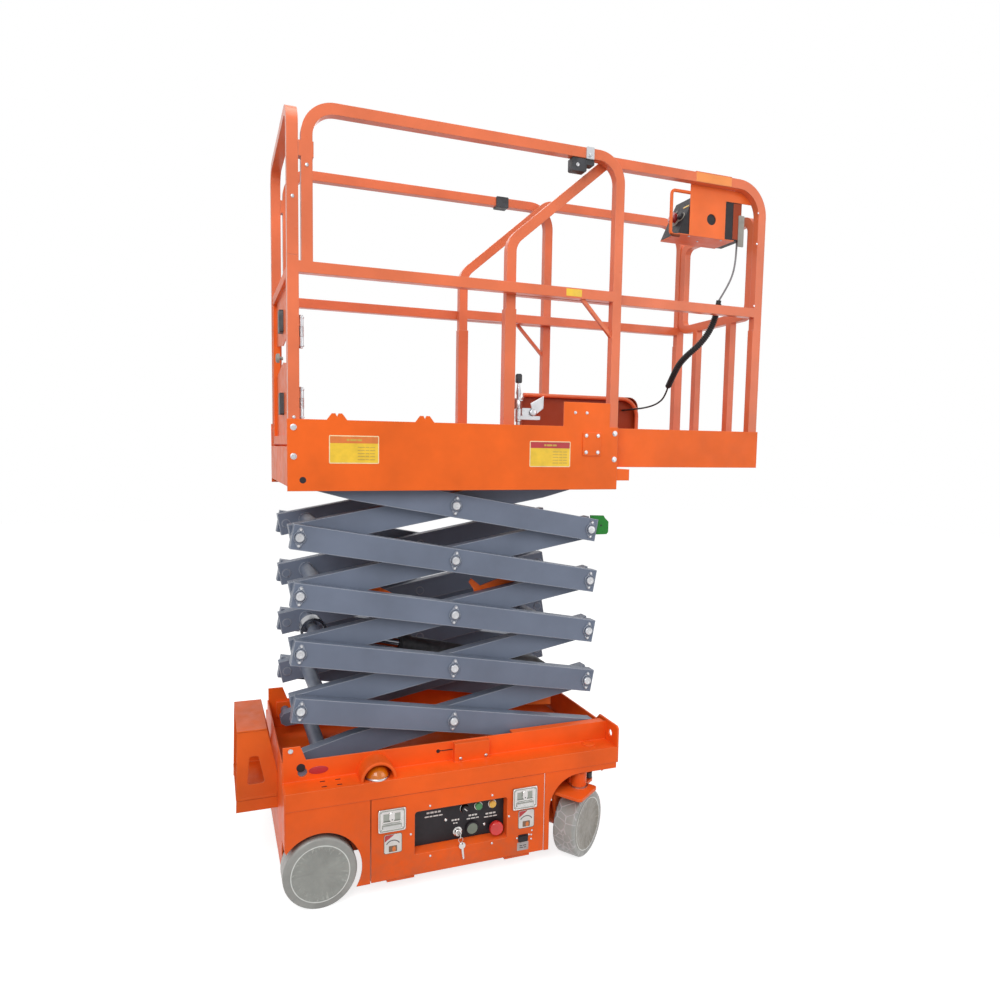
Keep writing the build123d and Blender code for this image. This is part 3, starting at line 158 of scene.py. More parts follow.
def round_rect(wide, high, corner):
    """Rectangle outline whose corners are quarter circles of six points, counter-clockwise."""
    t = np.linspace(0, np.pi / 2, 6)
    quarter = np.stack([np.cos(t), np.sin(t)], axis=1) * corner
    turn = [(1, 1, 0), (-1, 1, 1), (-1, -1, 2), (1, -1, 3)]
    parts = []
    for sx, sy, k in turn:
        c, s = round(math.cos(k * math.pi / 2)), round(math.sin(k * math.pi / 2))
        q = quarter @ np.array([[c, s], [-s, c]])
        parts.append(q + [sx * (wide / 2 - corner), sy * (high / 2 - corner)])
    return np.concatenate(parts)


def hexagon(reach):
    """Six-sided outline, reach from middle to corner."""
    a = np.arange(6) * np.pi / 3
    return np.stack([np.cos(a), np.sin(a)], axis=1) * reach


def ellipse(wide, high, count):
    """Oval outline."""
    a = np.linspace(0, 2 * np.pi, count, endpoint=False)
    return np.stack([np.cos(a) * wide / 2, np.sin(a) * high / 2], axis=1)


def plate(outline, thick, centre, u, v, edge=0.0006):
    """A thin plate whose front edge is broken by a small bevel."""
    return levels(outline, [(0, 0), (0, thick - edge), (edge, thick)], centre, u, v)


def bolt(centre, u, v, size=0.008):
    """Hexagon bolt head with a chamfered top, on a washer, standing out along u x v."""
    w = np.cross(u, v)
    centre = np.array(centre, float)
    high = 0.62 * size
    washer = turned([(size * 1.2, 0), (size * 1.2, 0.0012), (size * 1.1, 0.0015)], centre, w)
    centre = centre + 0.0015 * w
    steps = [(0, 0), (0, high * 0.8), (size * 0.16, high)]
    head = levels(hexagon(size * 0.95), steps, centre, u, v)
    return [washer, head]


def swept(profile, path, up):
    """A profile carried along a path: each point of the closed profile (a, b) lands at
    path + a side + b lift, where side is the path's direction crossed with up."""
    path = np.array(path, float)
    ahead = np.gradient(path, axis=0)
    ahead /= np.linalg.norm(ahead, axis=1, keepdims=True)
    side = np.cross(ahead, np.array(up, float))
    side /= np.linalg.norm(side, axis=1, keepdims=True)
    lift = np.cross(side, ahead)
    p = np.array(profile, float)
    return path[:, None] + p[None, :, :1] * side[:, None] + p[None, :, 1:] * lift[:, None]


def circle(radius, count):
    """Round profile."""
    return ellipse(2 * radius, 2 * radius, count)


def rim(outline, profile, centre, u, v):
    """A closed profile carried round a closed outline: each outline point of (a, b) carries the
    profile's (out, lift) pairs along its own outward direction and the normal, so a point is
    centre + a u + b v + out outward + lift normal."""
    pts = np.array(outline, float)
    pts = np.concatenate([pts, pts[:1]])
    u, v = np.array(u, float), np.array(v, float)
    w = np.cross(u, v)
    run = np.roll(pts[:-1], -1, axis=0) - np.roll(pts[:-1], 1, axis=0)
    run = np.concatenate([run, run[:1]])
    run /= np.linalg.norm(run, axis=1, keepdims=True)
    out = run[:, 1:] * u - run[:, :1] * v
    p = np.array(profile, float)
    middle = np.array(centre) + pts[:, :1] * u + pts[:, 1:] * v
    return middle[:, None] + p[None, :, :1] * out[:, None] + p[None, :, 1:] * w[None, None]


def piece(name, sheets, material, body, slot, smooth=35):
    """A new piece from its point grids, with its material and body, and shaded smooth up to that
    angle in degrees. Its slot is not used."""
    obj = mesh_of(name, sheets)
    obj.data.materials.append(material)
    obj.data.polygons.foreach_set("use_smooth", [True] * len(obj.data.polygons))
    obj.data.set_sharp_from_angle(angle=math.radians(smooth))
    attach(obj, body)
    return obj


# ---- finishes -------------------------------------------------------------------------------


def add_node(tree, kind, **values):
    """A new shader node. Each value goes to the node's input of that name, as a number or as a
    wire from another node's socket, or else to the node's own setting of that name."""
    made = tree.nodes.new(kind)
    for key, value in values.items():
        socket = made.inputs.get(key.replace("_", " "))
        if socket is None:
            setattr(made, key, value)
        elif isinstance(value, bpy.types.NodeSocket):
            tree.links.new(value, socket)
        else:
            socket.default_value = value
    return made


class Finish:
    """A material under construction: a shader with helpers that wire up noise and bumps."""

    def __init__(self, name, colour, rough, metal=0.0, **sockets):
        self.material = bpy.data.materials.new(name)
        self.material.use_nodes = True
        self.tree = self.material.node_tree
        self.shader = self.tree.nodes["Principled BSDF"]
        self.shader.inputs["Base Color"].default_value = linear(colour)
        self.shader.inputs["Roughness"].default_value = rough
        self.shader.inputs["Metallic"].default_value = metal
        for socket, value in sockets.items():
            self.shader.inputs[socket.replace("_", " ")].default_value = value
        self.place = self.node("ShaderNodeTexCoord").outputs["Object"]
        self.bumped = None

    def node(self, kind, **values):
        return add_node(self.tree, kind, **values)

    def wire(self, a, b):
        self.tree.links.new(a, b)

    def rounded(self, radius):
        """Lets the edges catch light as a small radius would."""
        self.bumped = self.node("ShaderNodeBevel", samples=6, Radius=radius).outputs["Normal"]
        return self

    def stretch(self, scale):
        """Object coordinates multiplied along each axis."""
        return self.node("ShaderNodeMapping", Scale=scale, Vector=self.place).outputs["Vector"]

    def noise(self, scale, detail, rough=0.55, place=None):
        made = self.node("ShaderNodeTexNoise", Scale=scale, Detail=detail, Roughness=rough,
                         Vector=place or self.place)
        return made.outputs["Fac"]

    def cells(self, scale, feature="F1", place=None):
        made = self.node("ShaderNodeTexVoronoi", feature=feature, Scale=scale,
                         Vector=place or self.place)
        return made.outputs["Distance"]

    def band(self, value, low, high, out_low=0.0, out_high=1.0):
        """A value between low and high spread over out_low to out_high, and held outside."""
        made = self.node("ShaderNodeMapRange", clamp=True, Value=value, From_Min=low,
                         From_Max=high, To_Min=out_low, To_Max=out_high)
        return made.outputs["Result"]

    def mul(self, a, b):
        made = self.node("ShaderNodeMath", operation="MULTIPLY", Value=a)
        if isinstance(b, (int, float)):
            made.inputs[1].default_value = b
        else:
            self.wire(b, made.inputs[1])
        return made.outputs[0]

    def about(self, centre, turn):
        """Coordinates round a wheel's axle: angle round it, distance from it, place along it."""
        shifted = self.node("ShaderNodeMapping", vector_type="TEXTURE", Location=centre,
                            Rotation=(0, 0, turn), Vector=self.place)
        x, y, z = self.node("ShaderNodeSeparateXYZ", Vector=shifted.outputs["Vector"]).outputs
        angle = self.node("ShaderNodeMath", operation="ARCTAN2", Value=z)
        self.wire(x, angle.inputs[1])
        flat = self.node("ShaderNodeCombineXYZ", X=x, Y=z)
        reach = self.node("ShaderNodeVectorMath", operation="LENGTH", Vector=flat.outputs[0])
        return angle.outputs[0], reach.outputs["Value"], y

    def joined(self, *parts):
        """Three values, each with its own scale, as one vector."""
        made = self.node("ShaderNodeCombineXYZ")
        for socket, (value, scale) in zip(made.inputs, parts):
            self.wire(self.mul(value, scale), socket)
        return made.outputs[0]

    def tint(self, share, first, second):
        """Colour between two others, by a share from 0 to 1. Either may be a socket."""
        made = self.node("ShaderNodeMix", data_type="RGBA")
        self.wire(share, made.inputs[0])
        for socket, value in ((made.inputs[6], first), (made.inputs[7], second)):
            if isinstance(value, tuple):
                socket.default_value = linear(value)
            else:
                self.wire(value, socket)
        return made.outputs[2]

    def coloured(self, socket):
        self.wire(socket, self.shader.inputs["Base Color"])
        return self

    def roughened(self, socket):
        self.wire(socket, self.shader.inputs["Roughness"])
        return self

    def bump(self, height, strength, depth):
        made = self.node("ShaderNodeBump", Strength=strength, Distance=depth, Height=height)
        if self.bumped is not None:
            self.wire(self.bumped, made.inputs["Normal"])
        self.bumped = made.outputs["Normal"]
        self.wire(self.bumped, self.shader.inputs["Normal"])
        return self

    def edges(self, radius):
        """Share that is 1 on an outward or inward edge and 0 on flat faces."""
        round_off = self.node("ShaderNodeBevel", samples=6, Radius=radius)
        turn = self.node("ShaderNodeVectorMath", operation="DOT_PRODUCT",
                         Vector=round_off.outputs["Normal"])
        self.wire(self.node("ShaderNodeNewGeometry").outputs["Normal"], turn.inputs[1])
        return self.band(turn.outputs["Value"], 0.8, 0.98, 1.0, 0.0)

    def height(self):
        """Height above the ground, in metres."""
        return self.node("ShaderNodeSeparateXYZ", Vector=self.place).outputs["Z"]


def shade(colour, factor):
    return tuple(min(255, c * factor) for c in colour)


def powder_coat(name, colour, rough=0.42, dust_top=None, gloss=0.05, tread=(), wear_and_highlight=0.25,
                shade_below=None, edge=0.0035):
    """Powder-coated steel: orange-peel skin, faint cloudiness, small rubbed flecks, edges that
    catch the light and are painted paler, partly as wear and partly as painted highlight, road
    dust that thins out up to dust_top, pressed anti-slip waves on treads, given by their heights,
    and painted shade, the colour halved, below a given height."""
    f = Finish(name, colour, rough, Coat_Weight=gloss, Coat_Roughness=0.2, Specular_IOR_Level=0.22)
    f.rounded(0.0028)
    cloud = f.band(f.noise(4.5, 4), 0.3, 0.7)
    base = f.tint(cloud, shade(colour, 0.93), shade(colour, 1.04))
    fleck = f.band(f.noise(160, 5, 0.7), 0.71, 0.76)
    wear = f.mul(fleck, f.band(f.noise(7, 3), 0.5, 0.72))
    base = f.tint(f.mul(wear, 0.6), base, shade(colour, 0.62))
    if dust_top:
        low = f.band(f.height(), 0.0, dust_top, 1.0, 0.0)
        grime = f.mul(low, f.band(f.noise(22, 6, 0.65), 0.35, 0.75))
        base = f.tint(f.mul(grime, 0.35), base, (120, 104, 88))
    if shade_below:
        # Painted shade: the colour is halved below the given height.
        base = f.tint(f.band(f.height(), shade_below, shade_below + 0.003), shade(colour, 0.5), base)
    # Paler edges: partly wear, partly painted highlight where a rounded edge would catch the light.
    pale = tuple(c + (255 - c) * 0.45 for c in colour)
    f.coloured(f.tint(f.mul(f.edges(edge), wear_and_highlight), base, pale))
    f.roughened(f.band(f.noise(30, 4), 0.3, 0.7, rough - 0.07, rough + 0.09))
    for at_z in tread:
        near = f.mul(f.band(f.height(), at_z - 0.006, at_z - 0.004),
                     f.band(f.height(), at_z + 0.001, at_z + 0.003, 1.0, 0.0))
        waves = f.cells(34, "SMOOTH_F1", f.stretch((1.0, 0.42, 1.0)))
        f.bump(f.mul(near, waves), 0.9, 0.006)
    return f.bump(f.noise(620, 2), 0.12, 0.0004).bump(f.noise(38, 2), 0.06, 0.002).material


def zinc_plate(name, colour=(198, 199, 202), rough=0.32):
    """Zinc-plated steel: bright metal with fine grain and dull patches."""
    f = Finish(name, colour, rough, 1.0)
    f.coloured(f.tint(f.band(f.noise(26, 4), 0.35, 0.7), shade(colour, 0.92), colour))
    f.roughened(f.band(f.noise(40, 3), 0.3, 0.7, rough - 0.05, rough + 0.08))
    return f.bump(f.noise(900, 2), 0.05, 0.0002).material


def moulded(name, colour, rough=0.5):
    """Moulded plastic: fine leather-like grain and a little unevenness of sheen."""
    f = Finish(name, colour, rough, Specular_IOR_Level=0.3)
    f.coloured(f.tint(f.band(f.noise(12, 3), 0.3, 0.7), shade(colour, 0.85), shade(colour, 1.15)))
    f.roughened(f.band(f.noise(80, 3), 0.3, 0.7, rough - 0.08, rough + 0.08))
    return f.bump(f.cells(900), 0.12, 0.0003).material


def glossy(name, colour, rough=0.22):
    """Glossy moulding: smooth with a faint waviness."""
    f = Finish(name, colour, rough, Coat_Weight=0.3)
    f.coloured(f.tint(f.band(f.noise(20, 2), 0.3, 0.7), shade(colour, 0.9), shade(colour, 1.05)))
    return f.bump(f.noise(55, 2), 0.05, 0.001).material


def sticker(name, colour):
    """Printed film: even colour that fades in faint blotches, and slight lifting."""
    f = Finish(name, colour, 0.34, Coat_Weight=0.2)
    f.coloured(f.tint(f.band(f.noise(35, 4), 0.35, 0.75), colour, shade(colour, 0.92)))
    return f.bump(f.noise(90, 3), 0.08, 0.0006).material


def wheel_film(name, colour, centre, turn, blocks=False):
    """Rubber and hub under one layer of protective film: soft blotches, short creases inside the
    rim, the film's bright edge line round it, and on a steered wheel the tread blocks' outlines."""
    f = Finish(name, colour, 0.4, Coat_Weight=0.2, Coat_Roughness=0.25)
    angle, reach, along = f.about(centre, turn)
    cloud = f.noise(13, 4, 0.6)
    base = f.tint(f.band(cloud, 0.34, 0.68), shade(colour, 0.93), shade(colour, 1.06))
    creases = f.noise(1.0, 4, 0.65, f.joined((angle, 9.0), (reach, 42.0), (along, 30.0)))
    by_rim = f.mul(f.band(reach, 0.058, 0.08), f.band(reach, 0.086, 0.088, 1.0, 0.0))
    creases = f.mul(f.band(creases, 0.55, 0.66), by_rim)
    base = f.tint(f.mul(creases, 0.6), base, shade(colour, 1.3))
    line = f.mul(f.band(reach, 0.088, 0.0892), f.band(reach, 0.0912, 0.0924, 1.0, 0.0))
    base = f.tint(f.mul(line, 0.85), base, (226, 228, 224))
    f.bump(cloud, 0.2, 0.004).bump(creases, 0.4, 0.0015)
    if blocks:
        cells = f.cells(1.0, "DISTANCE_TO_EDGE",
                        f.joined((angle, 3.2), (reach, 0.0), (along, 28.0)))
        seams = f.mul(f.band(cells, 0.02, 0.06, 1.0, 0.0), f.band(reach, 0.098, 0.104))
        base = f.tint(f.mul(seams, 0.5), base, (208, 202, 206))
        f.bump(seams, 0.5, 0.002)
    f.coloured(base)
    f.roughened(f.band(f.noise(60, 3), 0.3, 0.7, 0.28, 0.52))
    return f.material


def black_steel(name, colour, rough=0.5):
    """Dark painted steel with handling marks."""
    f = Finish(name, colour, rough)
    f.rounded(0.002)
    f.coloured(f.tint(f.band(f.noise(30, 5), 0.4, 0.75), shade(colour, 0.8), shade(colour, 1.5)))
    f.roughened(f.band(f.noise(50, 3), 0.3, 0.7, rough - 0.12, rough + 0.1))
    return f.bump(f.noise(500, 2), 0.1, 0.0004).material


ORANGE_PAINT = powder_coat("orange_powder_coat", ORANGE)
# The rails' orange is paler and pinker than the paint's own: partly painted reflection of the light
# from above.
RAIL_PAINT = powder_coat("orange_rail_coat", (226, 115, 74), 0.34, gloss=0.3)
CHASSIS_PAINT = powder_coat("orange_chassis_coat", (246, 98, 28), 0.45, dust_top=0.34)
# Painted shade on the box bracket's underside, below 2.23 m.
BOX_PAINT = powder_coat("orange_box_coat", (240, 112, 52), 0.4, shade_below=2.23)
# Dark orange for the cable guard and the box's inner face: painted shade on the same orange paint.
SHADED_PAINT = powder_coat("orange_painted_shade_coat", (150, 58, 24), 0.5)
TREAD_PAINT = powder_coat("orange_tread_coat", shade(ORANGE, 0.95), 0.45, tread=(0.509, 0.279))
# The slate's strongly paler edges are mostly painted highlight, with some wear.
SLATE_PAINT = powder_coat("slate_powder_coat", SLATE, 0.4, wear_and_highlight=0.85, edge=0.0065)
PALE_PAINT = powder_coat("pale_orange_coat", (250, 152, 84), 0.36)
DARK_STEEL = black_steel("dark_steel", (44, 45, 49))
ZINC = zinc_plate("zinc_plate")
STAINLESS = zinc_plate("stainless_press", (206, 204, 202), 0.2)
CHROME = zinc_plate("hard_chrome", (150, 152, 158), 0.16)
LATCH_STEEL = zinc_plate("latch_press", (150, 153, 146), 0.3)
# Black for real plastic mouldings, and also the black put in holes and slots as painted shade.
BLACK_PLASTIC_AND_SHADE = moulded("black_plastic_and_shade", (31, 28, 32))
GREY_PLASTIC = moulded("grey_plastic", (150, 148, 140), 0.45)
RED_PLASTIC = glossy("red_plastic", (214, 38, 36))
DEEP_RED_PLASTIC = glossy("deep_red_plastic", (158, 30, 34))
GREEN_PLASTIC = glossy("green_plastic", (60, 150, 78))
YELLOW_PLASTIC = glossy("yellow_plastic", (244, 190, 66))
AMBER_LENS = glossy("amber_lens", AMBER, 0.16)
GAUGE_FACE = glossy("gauge_face", (118, 130, 112), 0.14)
CABLE_SKIN = moulded("cable_skin", (30, 30, 32), 0.45)
GREY_CABLE = moulded("grey_cable_skin", (120, 121, 124), 0.42)
GREEN_PAINT = powder_coat("green_coat", LUG_GREEN, 0.4)
YELLOW_FILM = sticker("yellow_film", LABEL_YELLOW)
CREAM_FILM = sticker("cream_film", (248, 226, 176))
TAN_FILM = sticker("tan_film", (226, 122, 50))
RED_FILM = sticker("red_film", LABEL_RED)
WHITE_FILM = sticker("white_film", LABEL_WHITE)
GREY_FILM = sticker("grey_film", (178, 170, 168))
BROWN_FILM = sticker("brown_film", (122, 92, 68))
INK_FILM = sticker("ink_film", (52, 48, 58))
FAINT_FILM = sticker("faint_film", (206, 168, 66))

WHEELS = {
    "rear_near": ((REAR + REAR_WHEEL_X, -TRACK_Y, WHEEL_R), 0.0),
    "rear_far": ((REAR + REAR_WHEEL_X, TRACK_Y, WHEEL_R), 0.0),
    "front_near": ((REAR + FRONT_WHEEL_X, -TRACK_Y, WHEEL_R), STEER),
    "front_far": ((REAR + FRONT_WHEEL_X, TRACK_Y, WHEEL_R), STEER),
}
NODE_FINISH = {
    "beacon": AMBER_LENS, "battery_pack": BLACK_PLASTIC_AND_SHADE, "power_unit": DARK_STEEL,
    "control_panel": BLACK_PLASTIC_AND_SHADE, "panel_stop": RED_PLASTIC, "box_stop": DEEP_RED_PLASTIC,
    "latches_near": LATCH_STEEL, "latches_far": LATCH_STEEL, "knuckle_near": CHASSIS_PAINT,
    "knuckle_far": CHASSIS_PAINT, "tie_rod": DARK_STEEL, "lift_barrel": DARK_STEEL,
    "lift_rod": CHROME, "control_box": BLACK_PLASTIC_AND_SHADE, "ladder": TREAD_PAINT,
    "box_bracket": BOX_PAINT, "cable_guard": SHADED_PAINT,
}
CHASSIS_NODES = ("chassis_frame", "skirt_far", "skirt_near", "bulkhead_rear", "bulkhead_front",
                 "beacon_hood", "door_near", "door_far")
for wheel, (centre, turn) in WHEELS.items():
    # The steered wheels' discs are a darker, warmer grey: painted shade on the same film.
    disc = (132, 127, 117) if turn else (146, 148, 143)
    NODE_FINISH[f"tyre_{wheel}"] = wheel_film(f"tyre_film_{wheel}", FILM_GREY, centre, turn,
                                              bool(turn))
    NODE_FINISH[f"hub_{wheel}"] = wheel_film(f"hub_film_{wheel}", disc, centre, turn)
for node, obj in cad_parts.items():
    material = NODE_FINISH.get(node, ORANGE_PAINT)
    if node in CHASSIS_NODES:
        material = CHASSIS_PAINT
    if "_arms_" in node:
        material = SLATE_PAINT
    if "rail" in node:
        material = RAIL_PAINT
    obj.data.materials.clear()
    obj.data.materials.append(material)


# ---- camera and light -----------------------------------------------------------------------


CAMERA_PLACE = (-1.031, -2.5467, 1.4352)
YAW, PITCH, ROLL = 0.3518, -0.084, 0.0145
FOCAL_IN_WIDTHS = 0.72351
SENSOR = 36
CAMERA_SHIFT = (0.02404, 0.00954)
SURROUND_LIGHT = 0.45
FLOOR_REACH = 12.0
FLOOR_GLOW = 0.78
LAMPS = (("key", (-2.4, -3.4, 3.6), (0, 0, 1.1), 2.6, 104),
         ("fill", (3.0, -3.0, 2.2), (0, 0, 1.0), 2.6, 34),
         ("top", (0.2, -0.6, 5.2), (0, 0, 1.2), 2.6, 64),
         ("back", (0.6, 3.4, 3.8), (0, 0, 1.2), 2.4, 24))


def place_camera():
    """The photograph's viewpoint: yaw from +Y towards +X, pitch down, then roll."""
    ahead = np.array([math.sin(YAW), math.cos(YAW), 0])
    right = np.array([math.cos(YAW), -math.sin(YAW), 0])
    up = np.array([0.0, 0.0, 1.0])
    look = math.cos(PITCH) * ahead + math.sin(PITCH) * up
    lift = -math.sin(PITCH) * ahead + math.cos(PITCH) * up
    side = math.cos(ROLL) * right + math.sin(ROLL) * lift
    top = -math.sin(ROLL) * right + math.cos(ROLL) * lift
    camera = bpy.data.cameras.new("camera")
    camera.sensor_width = SENSOR
    camera.lens = FOCAL_IN_WIDTHS * SENSOR
    camera.shift_x, camera.shift_y = CAMERA_SHIFT
    holder = bpy.data.objects.new("camera", camera)
    turn = Matrix([[side[k], top[k], -look[k], 0] for k in range(3)] + [[0, 0, 0, 1]])
    holder.matrix_world = Matrix.Translation(CAMERA_PLACE) @ turn
    bpy.context.scene.collection.objects.link(holder)
    bpy.context.scene.camera = holder


def lamp(name, place, aim, size, power):
    """Square soft lamp that points from its place at aim."""
    light = bpy.data.lights.new(name, "AREA")
    light.size, light.energy = size, power
    holder = bpy.data.objects.new(name, light)
    w = np.array(place, float) - np.array(aim, float)
    u, v, w = across(w)
    turn = Matrix([[u[k], v[k], w[k], place[k]] for k in range(3)] + [[0, 0, 0, 1]])
    holder.matrix_world = turn
    bpy.context.scene.collection.objects.link(holder)


def where_seen(tree, unseen, seen):
    """The shader seen for what the camera sees straight, in gloss or through glass, and the
    shader unseen for all other light."""
    path = tree.nodes.new("ShaderNodeLightPath").outputs
    share = path["Is Camera Ray"]
    for other in ("Is Glossy Ray", "Is Transmission Ray"):
        either = add_node(tree, "ShaderNodeMath", operation="MAXIMUM", Value=share)
        tree.links.new(path[other], either.inputs[1])
        share = either.outputs[0]
    mixed = tree.nodes.new("ShaderNodeMixShader")
    for socket, into in zip((share, unseen, seen), mixed.inputs):
        tree.links.new(socket, into)
    return mixed.outputs[0]


def white_surroundings(world):
    """Soft white light all round, which shows as plain white."""
    world.use_nodes = True
    tree = world.node_tree
    soft = tree.nodes["Background"]
    soft.inputs["Color"].default_value = (1, 1, 1, 1)
    soft.inputs["Strength"].default_value = SURROUND_LIGHT
    white = add_node(tree, "ShaderNodeBackground", Color=(1, 1, 1, 1), Strength=1.0)
    shown = where_seen(tree, soft.outputs[0], white.outputs[0])
    tree.links.new(shown, tree.nodes["World Output"].inputs["Surface"])


def pale_floor():
    """Pale floor that keeps a faint shadow: where it is seen, white glow joins its own light."""
    floor = bpy.data.meshes.new("floor")
    ways = ((-1, -1), (1, -1), (1, 1), (-1, 1))
    floor.from_pydata([(a * FLOOR_REACH, b * FLOOR_REACH, 0) for a, b in ways], [], [(0, 1, 2, 3)])
    ground = bpy.data.objects.new("floor", floor)
    bpy.context.scene.collection.objects.link(ground)
    pale = Finish("pale_floor", (196, 196, 196), 0.8, Specular_IOR_Level=0.0)
    cloud = pale.band(pale.noise(2, 2), 0.3, 0.7)
    pale.coloured(pale.tint(cloud, (194, 194, 194), (198, 198, 198)))
    own = pale.shader.outputs[0]
    glow = pale.node("ShaderNodeEmission", Strength=FLOOR_GLOW)
    both = pale.node("ShaderNodeAddShader")
    pale.wire(own, both.inputs[0])
    pale.wire(glow.outputs[0], both.inputs[1])
    shown = where_seen(pale.tree, own, both.outputs[0])
    pale.wire(shown, pale.tree.nodes["Material Output"].inputs["Surface"])
    floor.materials.append(pale.material)


def studio():
    """White surroundings, a pale floor and four soft lamps."""
    scene = bpy.context.scene
    scene.view_settings.view_transform = "Standard"
    scene.world = bpy.data.worlds.new("studio")
    white_surroundings(scene.world)
    pale_floor()
    for settings in LAMPS:
        lamp(*settings)


place_camera()
studio()

# ---- control cable --------------------------------------------------------------------------

CABLE_TOP = [(1.686, -0.215, 2.236), (1.686, -0.215, 2.1846), (1.68, -0.211, 2.1205),
             (1.657, -0.205, 2.0648), (1.627, -0.199, 2.0152)]
CABLE_WRAPPED = [(1.627, -0.199, 2.0152), (1.622, -0.192, 1.955), (1.604, -0.176, 1.895),
                 (1.577, -0.157, 1.85), (1.548, -0.128, 1.815), (1.539, -0.088, 1.785),
                 (1.547, -0.042, 1.75), (1.562, 0.018, 1.7011)]
CABLE_TAIL = [(1.562, 0.018, 1.7011), (1.568, 0.048, 1.6591), (1.55, 0.082, 1.6309),
              (1.514, 0.112, 1.6172), (1.476, 0.134, 1.6121), (1.462, 0.16, 1.6095),
              (1.462, 0.205, 1.6095)]
# Thickness of the thin cable and half that of the thick one, and the spiral wrap's turns, its
# strip's half width and half thickness, its strip's distance from the middle, and its thickness
THIN_D = 0.007
CORE_R = 0.0096
WRAP_TURNS = 56
WRAP_WIDE = 0.003
WRAP_THICK = 0.0018
WRAP_R = 0.0108


def cable_curve(name, points, radius, material):
    """Smooth cable with the route's points as its control points."""
    curve = bpy.data.curves.new(name, "CURVE")
    curve.dimensions = "3D"
    spline = curve.splines.new("NURBS")
    spline.points.add(len(points) - 1)
    co = np.array([(REAR + x, y, z, 1.0) for x, y, z in points])
    spline.points.foreach_set("co", co.ravel())
    spline.order_u = 3
    spline.use_endpoint_u = True
    spline.resolution_u = 16
    curve.bevel_depth = radius
    curve.bevel_resolution = 4
    curve.use_fill_caps = True
    obj = bpy.data.objects.new(name, curve)
    bpy.context.scene.collection.objects.link(obj)
    curve.materials.append(material)
    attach(obj, "extension")
    return obj


def line_of(obj):
    """The points of a curve's own line, evenly read, with no thickness."""
    bare = obj.data.copy()
    bare.bevel_depth = 0
    ghost = bpy.data.objects.new("ghost", bare)
    mesh = bpy.data.meshes.new_from_object(ghost)
    points = np.empty(len(mesh.vertices) * 3)
    mesh.vertices.foreach_get("co", points)
    bpy.data.objects.remove(ghost)
    bpy.data.meshes.remove(mesh)
    bpy.data.curves.remove(bare)
    return points.reshape(-1, 3)


def measure(points):
    return float(np.linalg.norm(np.diff(points, axis=0), axis=1).sum())


def control_cable():
    """The cable from the control box to the far guard, and the spiral wrap round its middle."""
    thin_top = cable_curve("control_cable_top", CABLE_TOP, THIN_D / 2, GREY_CABLE)
    wrapped = cable_curve("control_cable_middle", CABLE_WRAPPED, CORE_R, CABLE_SKIN)
    tail = cable_curve("control_cable_tail", CABLE_TAIL, THIN_D / 2, CABLE_SKIN)
    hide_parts("cable_top")
    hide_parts("cable_coil")
    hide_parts("cable_tail")
    line = line_of(wrapped)
    length = measure(line)
    along = np.concatenate([[0], np.cumsum(np.linalg.norm(np.diff(line, axis=0), axis=1))])
    steps = WRAP_TURNS * 12
    s = np.linspace(0.012, length - 0.002, steps)
    centre = np.stack([np.interp(s, along, line[:, k]) for k in range(3)], axis=1)
    ahead = np.gradient(centre, axis=0)
    ahead /= np.linalg.norm(ahead, axis=1, keepdims=True)
    side = np.cross(ahead, [0.35, 0.9, 0.1])
    side /= np.linalg.norm(side, axis=1, keepdims=True)
    lift = np.cross(side, ahead)
    angle = s / length * WRAP_TURNS * 2 * np.pi
    out = np.cos(angle)[:, None] * side + np.sin(angle)[:, None] * lift
    a = np.linspace(0, 2 * np.pi, 8, endpoint=False)
    flat = np.stack([np.cos(a) * WRAP_WIDE, np.sin(a) * WRAP_THICK], axis=1)
    strip = (centre[:, None] + (WRAP_R + flat[None, :, 1:]) * out[:, None]
             + flat[None, :, :1] * ahead[:, None])
    wrap = piece("spiral_wrap", [strip], CABLE_SKIN, "extension", "cable_black", 50)
    measure(line_of(thin_top))
    measure(line_of(tail))


control_cable()

# ---- scissor pins and brackets --------------------------------------------------------------


def falling_arm(level, u):
    """Middle line of a level's outer arm at u from its rear pin: it falls towards the front."""
    return PIVOT_X + u * math.cos(REST), BASE_Z + level * RISE - u * math.sin(REST)


def pin_keepers():
    """On each arm pin a slate keeper with its ring, a bright pin end and two small screws."""
    tilt = math.radians(8)
    up = np.array([math.sin(tilt), 0, math.cos(tilt)])
    keeper = [(0, 0), (0, 0.0024), (0.0006, 0.003)]
    ring = [(0.0202, 0), (0.0202, 0.0042), (0.0192, 0.005), (0.0176, 0.005), (0.0168, 0.0042),
            (0.0168, 0.001)]
    pin_end = [(0.013, 0.0078), (0.013, 0.0092), (0.012, 0.0102), (0.0062, 0.0105),
               (0.0055, 0.0098), (0.0012, 0.0098)]
    screw = [(0.005, 0.0028), (0.005, 0.0052), (0.004, 0.0066), (0.0012, 0.0072)]
    for level in range(1, 6):
        painted, bright = [], []
        for u in (0.0, ARM_L / 2, ARM_L):
            if (u == 0 and level == 5) or (u == ARM_L and level == 1):
                continue
            x, z = falling_arm(level, u)
            for side in (-1, 1):
                w = np.array([0, side, 0.0])
                right = np.cross(up, w)
                face = np.array([x, side * ARM_Y, z])
                painted.append(levels(ellipse(0.026, 0.066, 32), keeper, face, right, up))
                painted.append(turned(ring, face, w, 32))
                bright.append(turned(pin_end, face, w, 28))
                for way in (-1, 1):
                    bright.append(turned(screw, face + way * 0.0255 * up, w, 16))
        piece(f"pin_keepers_{level}", painted, SLATE_PAINT, f"outer_{level}", "paint_slate")
        piece(f"pin_ends_{level}", bright, ZINC, f"outer_{level}", "zinc")


